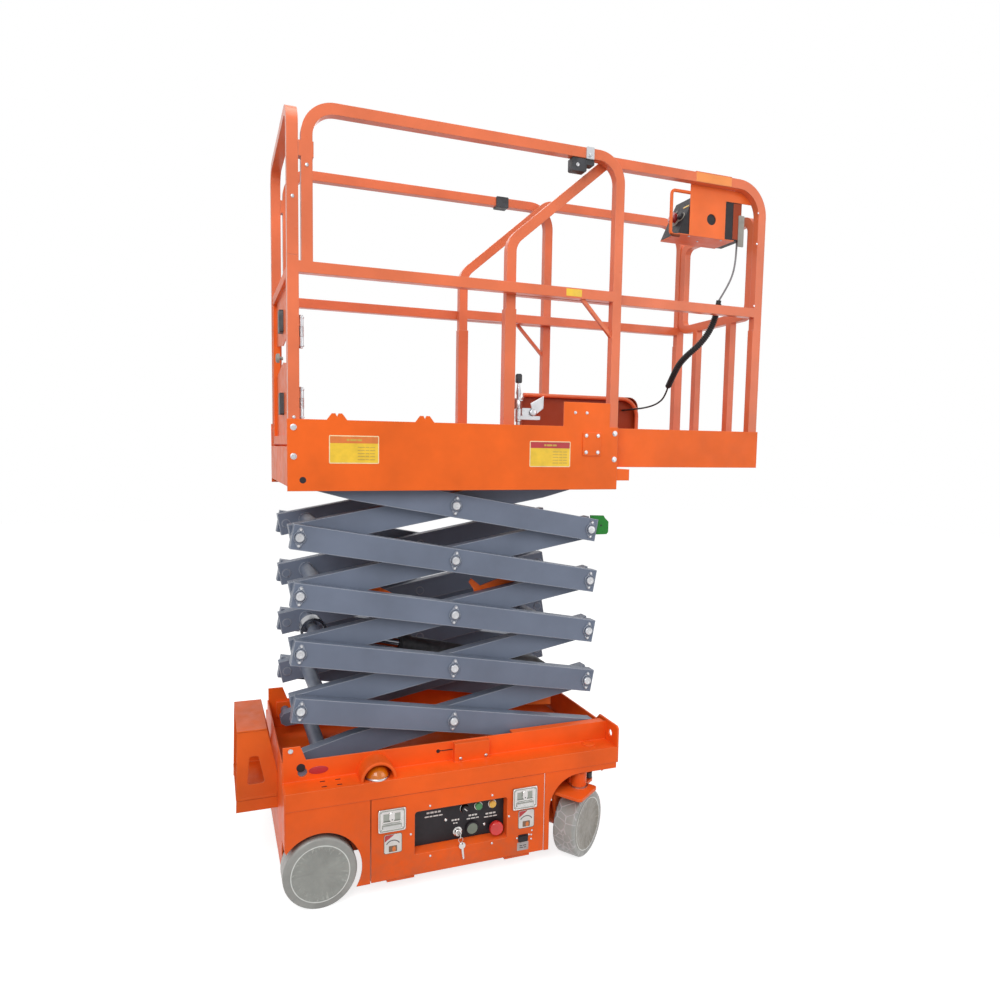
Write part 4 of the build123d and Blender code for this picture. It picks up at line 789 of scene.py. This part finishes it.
def side_polygon(name, corners, y, thick, material, body, slot):
    """A flat plate in the XZ plane, from (x, z) corners that run counter-clockwise seen from the
    near side, from y towards the near side by its thickness."""
    pts = np.array(corners, float)
    middle = pts.mean(axis=0)
    centre = np.array([REAR + middle[0], y, middle[1]])
    bevel = 0.0008
    steps = [(0, 0), (0, thick - bevel), (bevel, thick)]
    plate_grid = levels(pts - middle, steps, centre, (1.0, 0, 0), (0, 0, 1.0))
    piece(name, [plate_grid], material, body, slot, 30)


def scissor_brackets():
    """Green end lug of the top arm, and the orange prop brackets inside the scissor pack."""
    lug = [(1.072, 1.13), (1.14, 1.13), (1.147, 1.138), (1.147, 1.176), (1.132, 1.19),
           (1.126, 1.199), (1.072, 1.201)]
    side_polygon("lock_lug", lug, -0.236, 0.006, GREEN_PAINT, "outer_5", "paint_slate")
    # The lug's hole is a black disc: painted shade.
    hole = turned([(0.0034, 0), (0.0034, 0.0004)], (REAR + 1.116, -0.242, 1.163), (0, -1, 0), 16)
    piece("lock_lug_hole", [hole], BLACK_PLASTIC_AND_SHADE, "outer_5", "plastic_black", 30)
    prop = [(0.262, 0.948), (0.3, 0.905), (0.41, 0.88), (0.41, 0.915), (0.372, 0.933),
            (0.287, 0.979)]
    catch = [(0.648, 0.905), (0.76, 0.905), (0.845, 0.918), (0.845, 0.957), (0.752, 0.976),
             (0.674, 0.951), (0.64, 0.979), (0.632, 0.966), (0.652, 0.936)]
    foot = [(0.815, 0.5), (0.962, 0.488), (0.962, 0.56), (0.945, 0.56), (0.905, 0.56)]
    for part, corners, body in (("rear", prop, "inner_4"), ("front", catch, "inner_3"),
                                ("foot", foot, "inner_1")):
        side_polygon(f"prop_plate_{part}", corners, -PROP_Y, PROP_THICK, ORANGE_PAINT, body,
                     "paint_orange")
    cap = [(0.0052, 0), (0.0052, 0.0006), (0.003, 0.0012), (0.0006, 0.0013)]
    heads = [turned(cap, (REAR + x, -PROP_Y - PROP_THICK, z), (0, -1, 0), 18)
             for x, z in ((0.66, 0.925), (0.805, 0.935))]
    piece("prop_bolts_inner_3", heads, ZINC, "inner_3", "zinc", 30)


pin_keepers()
scissor_brackets()

# ---- films, plates and screws on the sides --------------------------------------------------


def on_side(x, z, y, near=True):
    """A place on a side wall, and the two directions that lie in it, facing outwards."""
    side = -1 if near else 1
    return np.array([REAR + x, side * y, z]), np.array([-side, 0.0, 0]), np.array([0, 0, 1.0])


def side_sheet(x, z, y, thick, corner, near=True):
    """The grid of a rounded plate or film between two places along X and two heights."""
    centre, u, v = on_side((x[0] + x[1]) / 2, (z[0] + z[1]) / 2, y, near)
    outline = round_rect(abs(x[1] - x[0]), abs(z[1] - z[0]), corner)
    return plate(outline, thick, centre, u, v, min(0.0004, thick / 2))


def side_plate(name, x, z, y, material, body, slot, thick=0.001, corner=0.004):
    """A rounded plate or film on a side wall between two places along X and two heights."""
    piece(name, [side_sheet(x, z, y, thick, corner)], material, body, slot, 40)


def dome(x, z, y, radius=0.0035, near=True):
    """A small round screw or rivet head: its radius falls off as a low dome."""
    centre, u, v = on_side(x, z, y, near)
    w = np.cross(u, v)
    rise = radius * 0.6
    return turned([(radius, 0), (radius, rise * 0.35), (radius * 0.75, rise * 0.8),
                   (radius * 0.2, rise)], centre, w, 16)


def spot(profile, x, z, y, near=True, sides=28):
    """A turned form whose axis stands square out of a side wall."""
    centre, u, v = on_side(x, z, y, near)
    return turned(profile, centre, np.cross(u, v), sides)


def dashes(x, z, y, widths, high):
    """A blank line of print: plain strips of the widths given, one after another."""
    gap = 0.0025
    starts = np.concatenate([[0], np.cumsum(np.array(widths) + gap)[:-1]])
    shift = (starts[-1] + widths[-1]) / 2
    span = (z - high / 2, z + high / 2)
    return [side_sheet((x + a - shift, x + a - shift + w), span, y, 0.0004, 0.0008)
            for a, w in zip(starts, widths)]


def film(name, x, z, y, head, main, lines):
    """A blank film on the platform: a pale border, a coloured head and body, and faint blank lines
    of print."""
    on = ("platform", "paint_orange")
    split = z[1] - 0.024
    inner = (x[0] + 0.003, x[1] - 0.003)
    side_plate(f"{name}_border", x, z, y, CREAM_FILM, *on, 0.0006)
    side_plate(f"{name}_head", inner, (split, z[1] - 0.003), y + 0.0006, head, *on, 0.0003, 0.002)
    side_plate(f"{name}_body", inner, (z[0] + 0.003, split), y + 0.0006, main, *on, 0.0003, 0.002)
    sheets = dashes((x[0] + x[1]) / 2, split + 0.01, y + 0.0009, (0.008, 0.02, 0.014), 0.006)
    for row in range(lines):
        at_z = split - 0.012 - row * 0.0095
        sheets += dashes(x[1] - 0.04, at_z, y + 0.0009, (0.022, 0.012, 0.016), 0.0028)
    piece(f"{name}_lines", sheets, FAINT_FILM, *on, 40)


def platform_trim():
    """Blank films, the bolted plate, bolts and screws of the platform's sides."""
    film("rear_label", (0.125, 0.281), (1.383, 1.47), FASCIA_Y, TAN_FILM, YELLOW_FILM, 5)
    film("front_label", (0.799, 0.953), (1.376, 1.464), FASCIA_Y, RED_FILM, YELLOW_FILM, 5)
    side_plate("rail_label", (0.925, 0.984), (1.957, 1.981), RAIL_Y, YELLOW_FILM, "platform",
               "paint_orange", 0.0006, 0.002)
    sheets, bright = [], []
    for near in (True, False):
        sheets.append(side_sheet((1.0, 1.07), (1.416, 1.498), FASCIA_Y, 0.004, 0.004, near))
        for x, z in ((1.012, 1.428), (1.058, 1.428), (1.012, 1.486), (1.058, 1.486)):
            centre, u, v = on_side(x, z, FASCIA_Y + 0.004, near)
            bright += bolt(centre, u, v, 0.0055)
        for x, z in ((1.127, 1.495), (1.127, 1.404), (0.019, 1.492), (0.019, 1.404)):
            centre, u, v = on_side(x, z, FASCIA_Y, near)
            bright += bolt(centre, u, v, 0.008)
    for x, z in ((0.969, 1.564), (1.014, 1.564)):
        bright.append(dome(x, z, FASCIA_Y, 0.0055))
    for x, z in ((0.021, 2.168), (0.063, 2.262), (0.021, 1.522)):
        bright.append(dome(x, z, RAIL_Y, 0.0055))
    piece("fascia_plates", sheets, ORANGE_PAINT, "platform", "paint_orange", 40)
    piece("platform_bolts", bright, ZINC, "platform", "zinc", 30)
    # Black discs stand for the fascia holes: painted shade inside them.
    holes = [spot([(0.01, 0), (0.01, 0.0004)], 0.046, 1.332, FASCIA_Y, near)
             for near in (True, False)]
    piece("fascia_holes", holes, BLACK_PLASTIC_AND_SHADE, "platform", "plastic_black", 30)


def rail_clamps():
    """Straps and pivot blocks on the top rails, where the extension's shoulders meet them."""
    strap = side_sheet((0.986, 1.016), (2.413, 2.4525), CLAMP_Y, 0.038, 0.003)
    bright = [strap, *bolt(*on_side(1.001, 2.424, 0.3), 0.006)]
    piece("rail_strap", bright, ZINC, "platform", "zinc", 30)
    black = [side_sheet((0.936, 0.992), (2.372, 2.4155), CLAMP_Y, 0.03, 0.006),
             side_sheet((0.988, 1.02), (2.395, 2.4135), 0.264, 0.03, 0.004),
             side_sheet((0.884, 0.936), (2.41, 2.4525), CLAMP_Y, 0.038, 0.004, False)]
    piece("rail_pivot_blocks", black, DARK_STEEL, "platform", "steel_grey", 30)
    heads = [dome(0.958, 2.392, 0.292, 0.0065), dome(0.905, 2.43, 0.3011, 0.006, False)]
    piece("rail_pivot_heads", heads, ZINC, "platform", "zinc", 30)


def gate_hardware():
    """Spring barrels over the gate's hinges, its dark pads, and the round latch knob."""
    x, y = REAR + 0.046, -0.272
    fixed, swinging = [], []
    for z in (1.565, 1.78):
        for way in (-1, 1):
            ends = [(0.0078, 0.0155), (0.0078, 0.039), (0.0094, 0.04), (0.0094, 0.044),
                    (0.006, 0.0455), (0.006, 0.049), (0.004, 0.05), (0.0012, 0.05)]
            fixed.append(turned(ends, (x, y, z), (0, 0, way), 24))
        coil = np.linspace(-0.0148, 0.0148, 45)
        ripple = 0.0086 + 0.0005 * np.cos(coil / 0.0148 * np.pi * 10)
        swinging.append(turned(np.stack([ripple, coil], axis=1), (x, y, z), (0, 0, 1), 24))
    piece("hinge_ends", fixed, ZINC, "platform", "zinc")
    piece("hinge_springs", swinging, ZINC, "gate", "zinc")
    across_rear = ((0, -1.0, 0), (0, 0, 1.0))
    pads = []
    for low, high in ((1.812, 1.886), (1.54, 1.613)):
        centre = (REAR + 0.03, 0.0, (low + high) / 2)
        pads.append(plate(round_rect(0.05, high - low, 0.005), 0.026, centre, *across_rear,
                          0.0015))
    piece("gate_pads", pads, DARK_STEEL, "gate", "steel_grey")
    knob = turned([(0.0165, 0), (0.0165, 0.008), (0.015, 0.0105), (0.011, 0.0125), (0.002, 0.013)],
                  (REAR + 0.0175, 0.128, 1.743), (-1, 0, 0), 32)
    stem = turned([(0.006, 0), (0.006, 0.012)], (REAR + 0.0295, 0.128, 1.743), (-1, 0, 0), 20)
    piece("gate_knob", [knob, stem], GREY_PLASTIC, "gate", "plastic_black")


platform_trim()
rail_clamps()
gate_hardware()

# ---- extension ------------------------------------------------------------------------------


def box_face():
    """Foot of the control box's sloping panel and its two directions, facing back and up."""
    lean = math.atan(0.065 / 0.14)
    up = np.array([math.sin(lean), 0, math.cos(lean)])
    return np.array([REAR + 1.41, 0, 2.236]), np.array([0, -1.0, 0]), up


def box_controls():
    """Dial with its knob, pilot light, stop collar and blank strip on the upper box, its screws,
    and the plates at its right end, one of them dark orange as painted shade."""
    foot, across_y, up = box_face()
    out = np.cross(across_y, up)

    def at(y, rise):
        return foot + np.array([0, y, 0]) + rise * up

    dial = [turned([(0.017, 0), (0.017, 0.002), (0.0155, 0.0028), (0.014, 0.002),
                    (0.0138, 0.0008)], at(-0.203, 0.074), out, 32),
            turned([(0.0052, 0), (0.0052, 0.0016), (0.0044, 0.0022), (0.001, 0.0024)],
                   at(-0.15, 0.112), out, 20)]
    piece("box_dial", dial, GREY_PLASTIC, "extension", "plastic_black")
    strips = [plate(round_rect(0.034, 0.006, 0.001), 0.0005, at(-0.203, 0.118), across_y, up,
                    0.0002)]
    piece("box_strip", strips, YELLOW_FILM, "extension", "plastic_black")
    knob = turned([(0.012, 0.0005), (0.012, 0.01), (0.0105, 0.0125), (0.002, 0.013)],
                  at(-0.203, 0.074), out, 28)
    piece("box_knob", [knob], BLACK_PLASTIC_AND_SHADE, "extension", "plastic_black")
    collar = turned([(0.026, 0), (0.026, 0.001), (0.02, 0.0016)], at(-0.171, 0.0706), out, 32)
    piece("box_stop_collar", [collar], GREY_PLASTIC, "extension", "plastic_black")
    heads = [turned([(0.0042, 0), (0.0042, 0.001), (0.003, 0.0024), (0.0008, 0.0028)],
                    (REAR + x, y, 2.2327), (0, 0, -1), 16)
             for x, y in ((1.462, -0.222), (1.606, -0.222), (1.534, -0.176))]
    heads += [dome(1.744, z, EXT_RAIL_Y, 0.0038) for z in (2.338, 2.225, 1.994)]
    piece("box_screws", heads, ZINC, "extension", "zinc")
    # The box's inner face is a dark orange plate: painted shade.
    side_plate("box_inner_face", (1.654, 1.691), (2.24, 2.372), BOX_Y, SHADED_PAINT, "extension",
               "paint_orange", 0.0012, 0.003)
    side_plate("box_end_plate", (1.678, 1.704), (2.215, 2.33), BOX_Y + 0.0012, GREY_PLASTIC,
               "extension", "plastic_black", 0.0025, 0.003)
    side_plate("rail_patch", (1.459, 1.616), (2.417, 2.4498), EXT_RAIL_Y, PALE_PAINT, "extension",
               "paint_orange", 0.0008, 0.003)


def latch_hardware():
    """The foot latch, for its CAD post: stem with its washers and dark knob, channel, round grip
    and the pressed pedal."""
    x, y = REAR + 0.79, -0.216
    steps = [(0.002, 1.664), (0, 1.667), (0, 1.69), (0.003, 1.695)]
    knob = levels(round_rect(0.02, 0.02, 0.005), steps, (x, y, 0), (1.0, 0, 0), (0, 1.0, 0))
    piece("latch_knob", [knob], DARK_STEEL, "extension", "steel_grey")
    stem = turned([(0.0075, 1.3802), (0.0075, 1.53), (0.011, 1.532), (0.011, 1.574),
                   (0.007, 1.576), (0.007, 1.602), (0.0165, 1.6022), (0.0165, 1.6055),
                   (0.007, 1.606), (0.007, 1.622), (0.0095, 1.628), (0.006, 1.65),
                   (0.0045, 1.665)], (x, y, 0), (0, 0, 1), 28)
    channel = side_sheet((0.782, 0.868), (1.538, 1.551), 0.204, 0.026, 0.003)
    upright = side_sheet((0.8, 0.85), (1.551, 1.578), 0.224, 0.003, 0.006)
    grip = turned([(0.019, 0), (0.019, 0.0015), (0.015, 0.0038), (0.004, 0.0046)],
                  (REAR + 0.772, -0.228, 1.592), (-0.8, -0.6, 0.1), 28)
    joint = turned([(0.0125, 0), (0.0125, 0.004), (0.0105, 0.0052), (0.002, 0.0056)],
                   (REAR + 0.841, -0.23, 1.563), (0, -1, 0), 24)
    corners = np.array([(0.83, 1.594), (0.834, 1.577), (0.846, 1.552), (0.879, 1.578),
                        (0.88, 1.621)])
    middle = corners.mean(axis=0)
    pedal = levels(corners - middle, [(0, 0), (0, 0.0042), (0.0016, 0.0055)],
                   (REAR + middle[0], -0.227, middle[1]), (1.0, 0, 0), (0, 0, 1.0))
    links = piece("latch_links", [stem, channel, upright, grip, joint, pedal], ZINC, "extension",
                  "zinc")
    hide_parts("deck_latch")


def guard_rim():
    """Rounded tube along the far guard's top and front edge: straight, a quarter turn, down."""
    t = np.linspace(np.pi / 2, 0, 13)
    turn = np.stack([1.448 + 0.0745 * np.cos(t), 1.5825 + 0.0745 * np.sin(t)], axis=1)
    line = np.concatenate([[(0.985, 1.657), (1.2, 1.657)], turn,
                           [(1.5225, 1.48), (1.5225, 1.385)]])
    path = np.stack([REAR + line[:, 0], np.full(len(line), 0.186), line[:, 1]], axis=1)
    piece("guard_rim", [swept(circle(0.008, 16), path, up=(0, 1, 0))], RAIL_PAINT, "extension",
          "paint_orange", 50)


box_controls()
latch_hardware()
guard_rim()

# ---- ground controls and doors --------------------------------------------------------------


def ground_controls():
    """Coloured caps, bezels, gauge, key and blank legends on the ground control plate."""
    y, button_z = PANEL_Y, 0.234
    cap = [(0.0125, 0), (0.0125, 0.0084), (0.0114, 0.0098), (0.006, 0.0106), (0.001, 0.0108)]
    bezel = [(0.0152, 0), (0.0152, 0.0024), (0.0142, 0.0034), (0.0128, 0.0034), (0.0124, 0.001)]
    places = (("drive_button", 0.6149, GREEN_PLASTIC), ("lamp_button", 0.6649, YELLOW_PLASTIC))
    for name, x, plastic in places:
        piece(name, [spot(cap, x, button_z, y)], plastic, "door_near", "plastic_black")
    switch, lock, gauge = (0.5659, 0.233, y), (LOCK_X, LOCK_Z, y), (0.5929, 0.16, y)
    switch_rim = [(0.0165, 0), (0.0165, 0.0012), (0.0156, 0.002), (0.0146, 0.0012), (0.0144, 0)]
    lock_face = [(0.016, 0), (0.016, 0.0034), (0.014, 0.0046), (0.0118, 0.0046),
                 (0.0116, 0.014), (0.0104, 0.0152), (0.003, 0.0154)]
    bright = [spot(bezel, x, button_z, y) for name, x, plastic in places]
    bright += [spot(switch_rim, *switch), spot(lock_face, *lock)]
    bright += [dome(0.5, 0.203, y, 0.0052), dome(0.638, 0.165, y, 0.0052)]
    piece("control_bezels", bright, STAINLESS, "door_near", "zinc")
    switch_knob = [(0.0124, 0), (0.0124, 0.0122), (0.0112, 0.0132), (0.002, 0.0134)]
    gauge_rim = [(0.0236, 0), (0.0236, 0.0072), (0.022, 0.009), (0.0196, 0.009),
                 (0.0186, 0.007), (0.0184, 0.0055)]
    dark = [spot(switch_knob, *switch), spot(gauge_rim, *gauge, sides=40)]
    piece("control_rings", dark, BLACK_PLASTIC_AND_SHADE, "door_near", "plastic_black")
    face = spot([(0.0186, 0.0055), (0.0186, 0.0066), (0.003, 0.0072)], *gauge, sides=40)
    piece("gauge_face", [face], GAUGE_FACE, "door_near", "plastic_black")
    centre, u, v = on_side(*switch[:2], y + 0.0134)
    lean = math.radians(48)
    along = math.cos(lean) * v - math.sin(lean) * u
    marks = [plate(round_rect(0.0034, 0.013, 0.001), 0.0006, centre,
                   np.cross(along, np.cross(u, v)), along, 0.0002)]
    legends = ((0.458, 0.236, (0.01, 0.012, 0.009, 0.01), 0.0062),
               (0.458, 0.223, (0.014, 0.01, 0.018, 0.012), 0.0042),
               (0.534, 0.197, (0.008, 0.008, 0.006), 0.0056),
               (0.534, 0.186, (0.006, 0.007), 0.004),
               (0.596, 0.204, (0.009, 0.007, 0.009), 0.0056),
               (0.596, 0.193, (0.012, 0.016, 0.01), 0.004),
               (0.66, 0.2, (0.01, 0.012, 0.009), 0.0056),
               (0.66, 0.189, (0.016, 0.012, 0.014), 0.004))
    for x, z, widths, high in legends:
        marks += dashes(x, z, y, widths, high)
    piece("control_marks", marks, WHITE_FILM, "door_near", "plastic_black", 40)


def door_keys():
    """A key in the lock, its ring, and the spare key that hangs from it over the sill."""
    across_x, up = np.array([1.0, 0, 0]), np.array([0, 0, 1.0])
    lock = np.array([REAR + LOCK_X, -0.3612, LOCK_Z])
    blade = levels(round_rect(0.0026, 0.0085, 0.0006), [(0, 0), (0, 0.006)], lock, across_x, up)
    bow_steps = [(0.0004, 0.006), (0, 0.007), (0, 0.019), (0.0006, 0.02)]
    bow = levels(ellipse(0.003, 0.021, 28), bow_steps, lock, across_x, up)
    ring_place = lock + np.array([0.0008, -0.0195, -0.0125])
    ring = rim(ellipse(0.015, 0.017, 28), circle(0.0008, 8), ring_place, across_x, up)
    spare = np.array([REAR + 0.547, -0.3805, 0.1235])
    head = levels(ellipse(0.023, 0.023, 32), [(0, 0), (0, 0.0014), (0.0006, 0.002)], spare,
                  across_x, up)
    lean = math.radians(6)
    down = np.array([math.sin(lean), 0, -math.cos(lean)])
    right = np.cross(down, np.array([0, -1.0, 0]))
    teeth = [(-0.0036, -0.019), (0.0036, -0.019), (0.0036, 0.004), (0.0022, 0.007), (0.0036, 0.01),
             (0.0022, 0.014), (0.0026, 0.019), (0.0, 0.022), (-0.003, 0.019)]
    shank = levels(teeth, [(0, 0), (0, 0.0018)], spare + 0.026 * down, right, down)
    piece("door_keys", [blade, bow, ring, head, shank], STAINLESS, "door_near", "zinc")
    # The key's eye is a black disc: painted shade for the hole.
    eye = turned([(0.0022, 0), (0.0022, 0.0004)], spare + np.array([0, -0.002, 0.007]),
                 (0, -1, 0), 14)
    piece("key_eye", [eye], BLACK_PLASTIC_AND_SHADE, "door_near", "plastic_black", 30)


def latch_details(near):
    """Rolled rim, sloped inner walls, key plate, lower paddle and corner rivets of both latches."""
    side, body = ("near", "door_near") if near else ("far", "door_far")
    bright, dark = [], []
    for x in (0.309, 0.7719):
        centre, u, v = on_side(x, LATCH_Z, DOOR_Y, near)
        w = np.cross(u, v)
        outer = centre + 0.0045 * w
        bright.append(rim(round_rect(0.086, 0.072, 0.005), circle(0.0021, 10), outer, u, v))
        slope = [(-0.01, 0.0012), (0.0, 0.0012), (0.0, 0.0052), (-0.0014, 0.0052)]
        bright.append(rim(round_rect(0.076, 0.062, 0.004), slope, centre, u, v))
        shield = [(-0.01, -0.001), (-0.004, -0.013), (0.004, -0.013), (0.01, -0.001),
                  (0.0085, 0.016), (0.004, 0.02), (-0.004, 0.02), (-0.0085, 0.016)]
        bright.append(levels(shield, [(0, 0.001), (0, 0.0046), (0.0012, 0.0056)],
                             centre + 0.006 * v, u, v))
        bar = centre - 0.006 * v + 0.001 * w
        bright.append(plate(round_rect(0.062, 0.004, 0.0012), 0.0034, bar, u, v))
        tip = w * math.cos(0.5) + v * math.sin(0.5)
        flap_up = np.cross(tip, u)
        flap = centre - 0.0205 * v + 0.003 * w
        bright.append(plate(round_rect(0.06, 0.017, 0.003), 0.0018, flap, u, flap_up))
        for a in (-1, 1):
            for b in (-1, 1):
                rivet = (x + a * 0.0405, LATCH_Z + b * 0.0335, DOOR_Y + 0.005)
                bright.append(dome(*rivet, 0.003, near))
        # The keyholes are small black discs: painted shade in the openings.
        dark.append(turned([(0.003, 0.0057), (0.003, 0.0062)], centre + 0.002 * v, w, 3))
    piece(f"latch_faces_{side}", bright, STAINLESS, body, "zinc", 30)
    piece(f"latch_keyholes_{side}", dark, BLACK_PLASTIC_AND_SHADE, body, "plastic_black", 30)


def door_films():
    """The two small blank films under the latches: white with a dark edge, a red corner, a bow
    and a block."""
    edge, base, corner, bow, block, glow = [], [], [], [], [], []
    wedge = [(-0.027, 0.009), (-0.0262, 0.0085), (0.004, 0.029), (0.002, 0.0298),
             (-0.023, 0.0298), (-0.027, 0.026)]
    for x, z in ((0.313, 0.172), (0.779, 0.176)):
        edge.append(side_sheet((x - 0.0302, x + 0.0302), (z - 0.0327, z + 0.0327), DOOR_Y, 0.0005,
                               0.007))
        base.append(side_sheet((x - 0.0282, x + 0.0282), (z - 0.0307, z + 0.0307), DOOR_Y + 0.0005,
                               0.0004, 0.006))
        centre, u, v = on_side(x, z, DOOR_Y + 0.0009)
        corner.append(levels(wedge, [(0, 0), (0, 0.0003)], centre, u, v))
        t = np.linspace(math.radians(152), math.radians(28), 20)
        path = centre + np.outer(0.0235 * np.cos(t), u) + np.outer(0.0215 * np.sin(t) - 0.0105, v)
        bow.append(swept(ellipse(0.003, 0.0008, 8), path, up=np.cross(u, v)))
        block.append(plate(round_rect(0.027, 0.02, 0.002), 0.0003, centre - 0.017 * v, u, v,
                           0.0001))
        glow.append(plate(ellipse(0.012, 0.017, 20), 0.0003, centre - 0.0185 * v + 0.0035 * u, u,
                          v, 0.0001))
    rows = (("edge", edge, BROWN_FILM), ("base", base, WHITE_FILM), ("corner", corner, RED_FILM),
            ("bow", bow, INK_FILM), ("block", block, BROWN_FILM), ("glow", glow, TAN_FILM))
    for part, sheets, material in rows:
        lift = 0.0003 if part == "glow" else 0.0
        grids = [grid + np.array([0, -lift, 0]) for grid in sheets]
        piece(f"door_film_{part}", grids, material, "door_near", "paint_orange", 40)


def door_trim():
    """Rivets round the control recess, the charging socket and its blank label."""
    large = ((0.436, 0.277), (0.372, 0.192), (0.715, 0.195), (0.653, 0.279), (0.438, 0.107),
             (0.654, 0.111))
    small = ((0.746, 0.112), (0.79, 0.118), (0.801, 0.131), (0.799, 0.116), (0.799, 0.101))
    rivets = [dome(x, z, DOOR_Y, 0.0038) for x, z in large]
    rivets += [dome(x, z, DOOR_Y, 0.0034) for x, z in small]
    piece("door_rivets", rivets, ZINC, "door_near", "zinc")
    shell = [side_sheet((0.75, 0.786), (0.097, 0.122), DOOR_Y, 0.0034, 0.004),
             side_sheet((0.755, 0.781), (0.113, 0.119), DOOR_Y + 0.0034, 0.004, 0.002)]
    piece("charge_socket", shell, BLACK_PLASTIC_AND_SHADE, "door_near", "plastic_black")
    side_plate("socket_label", (0.747, 0.789), (0.066, 0.095), DOOR_Y, GREY_FILM, "door_near",
               "paint_orange", 0.0006, 0.002)
    lines = dashes(0.768, 0.083, DOOR_Y + 0.0006, (0.01, 0.012), 0.003)
    lines += dashes(0.768, 0.076, DOOR_Y + 0.0006, (0.014, 0.009), 0.003)
    piece("socket_label_lines", lines, INK_FILM, "door_near", "paint_orange", 40)


ground_controls()
door_keys()
latch_details(True)
latch_details(False)
door_films()
door_trim()

# ---- chassis and wheels ---------------------------------------------------------------------


def shelf_trim():
    """Red blank plate, black holes and slots as painted shade, screws, lug bolts, round pad, and
    the beacon's base and hood lip."""
    centre, u, v = on_side(0.09, 0.413, WALL_Y)
    oval = plate(ellipse(0.062, 0.025, 40), 0.0016, centre, u, v)
    piece("wall_oval", [oval], RED_FILM, "chassis", "paint_orange", 40)
    # The wall's keyhole, hole and slot, and the shelf's slots, are black sheets: painted shade
    # where they are open.
    slot = [spot([(0.0065, 0), (0.0065, 0.0005)], 0.486, 0.421, WALL_Y),
            spot([(0.0135, 0), (0.0135, 0.0006)], 0.035, 0.427, WALL_Y),
            side_sheet((0.484, 0.54), (0.4196, 0.4224), WALL_Y, 0.0006, 0.001)]
    up_x, up_y = (1.0, 0, 0), (0, 1.0, 0)
    slot += [plate(round_rect(0.016, 0.005, 0.001), 0.0004, (REAR + x, y, SHELF_Z), up_x, up_y,
                   0.0001) for x in (0.099, 0.147) for y in (-0.3215, -0.3585)]
    piece("wall_keyhole", slot, BLACK_PLASTIC_AND_SHADE, "chassis", "plastic_black")
    bright = [dome(0.559, 0.394, 0.32, 0.006), dome(0.65, 0.394, 0.32, 0.006)]
    for near in (True, False):
        bright += bolt(*on_side(0.004, 0.484, WALL_Y, near), 0.0065)
    beacon_foot = (REAR + BEACON_X, -0.339, SHELF_Z)
    bright.append(turned([(0.0408, 0), (0.0408, 0.0045), (0.0395, 0.0062), (0.0372, 0.0062)],
                         beacon_foot, (0, 0, 1), 40))
    piece("shelf_bright_parts", bright, ZINC, "chassis", "zinc")
    pad = turned([(0.024, 0), (0.024, 0.003), (0.0215, 0.0044), (0.004, 0.005)],
                 (REAR + 1.042, -0.326, SHELF_Z), (0, 0, 1), 36)
    piece("shelf_pad", [pad], CHASSIS_PAINT, "chassis", "paint_orange")
    t = np.linspace(0, np.pi, 33)
    arch = np.stack([REAR + BEACON_X + 0.0535 * np.cos(t), np.full(33, -0.3675),
                     SHELF_Z + 0.0535 * np.sin(t)], axis=1)
    lip = swept(circle(0.0056, 12), arch, up=(0, 1, 0))
    piece("hood_lip", [lip], CHASSIS_PAINT, "chassis", "paint_orange", 50)


def wheel_discs():
    """The film drawn over each wheel: a dished disc whose height over the hub also ripples with
    the angle, by a sum of cosines that grows with the radius. It turns back behind itself."""
    front = np.array([(0.001, 0.0362), (0.02, 0.0363), (0.045, 0.0364), (0.066, 0.0366),
                      (0.073, 0.0376), (0.079, 0.0392), (0.085, 0.0405), (0.0905, 0.0412),
                      (0.0925, 0.041), (0.0938, 0.0402)])
    back = np.array([(0.0935, 0.0396), (0.086, 0.039), (0.074, 0.0362), (0.066, 0.0352),
                     (0.001, 0.0351)])
    rows = np.concatenate([front, back])
    swing = np.where(np.arange(len(rows)) < len(front), rows[:, 0] / 0.09, 0.0)
    swing[-len(back) - 2:] = 0.0
    a = np.linspace(0, 2 * np.pi, 120, endpoint=False)
    for k, (wheel, (centre, turn)) in enumerate(WHEELS.items()):
        side = -1 if wheel.endswith("near") else 1
        w = np.array([-side * math.sin(turn), side * math.cos(turn), 0.0])
        u, v, w = across(w)
        ripple = sum(size * np.cos(waves * a + k + waves) for size, waves in
                     ((0.0004, 5), (0.0003, 13), (0.0003, 22), (0.0002, 37)))
        lift = rows[:, 1:] + swing[:, None] * ripple[None, :]
        ring = np.cos(a)[:, None] * u + np.sin(a)[:, None] * v
        grid = np.array(centre) + lift[:, :, None] * w + rows[:, :1, None] * ring
        piece(f"wheel_disc_{wheel}", [grid], NODE_FINISH[f"hub_{wheel}"], f"wheel_{wheel}",
              "hub_wrapped", 50)


def kingpin_collars():
    """Thin bright thrust washers between the axle bosses and the steered knuckles."""
    for side, name in ((-1, "near"), (1, "far")):
        centre = (REAR + FRONT_WHEEL_X, side * TRACK_Y, 0.246)
        washer = turned([(0.033, 0), (0.033, 0.0034), (0.032, 0.0039), (0.016, 0.0039)], centre,
                        (0, 0, 1), 36)
        cap = turned([(0.022, 0.066), (0.022, 0.0705), (0.02, 0.0725), (0.004, 0.0732)], centre,
                     (0, 0, 1), 28)
        piece(f"kingpin_collar_{name}", [washer, cap], ZINC, f"knuckle_{name}", "zinc")


shelf_trim()
wheel_discs()
kingpin_collars()
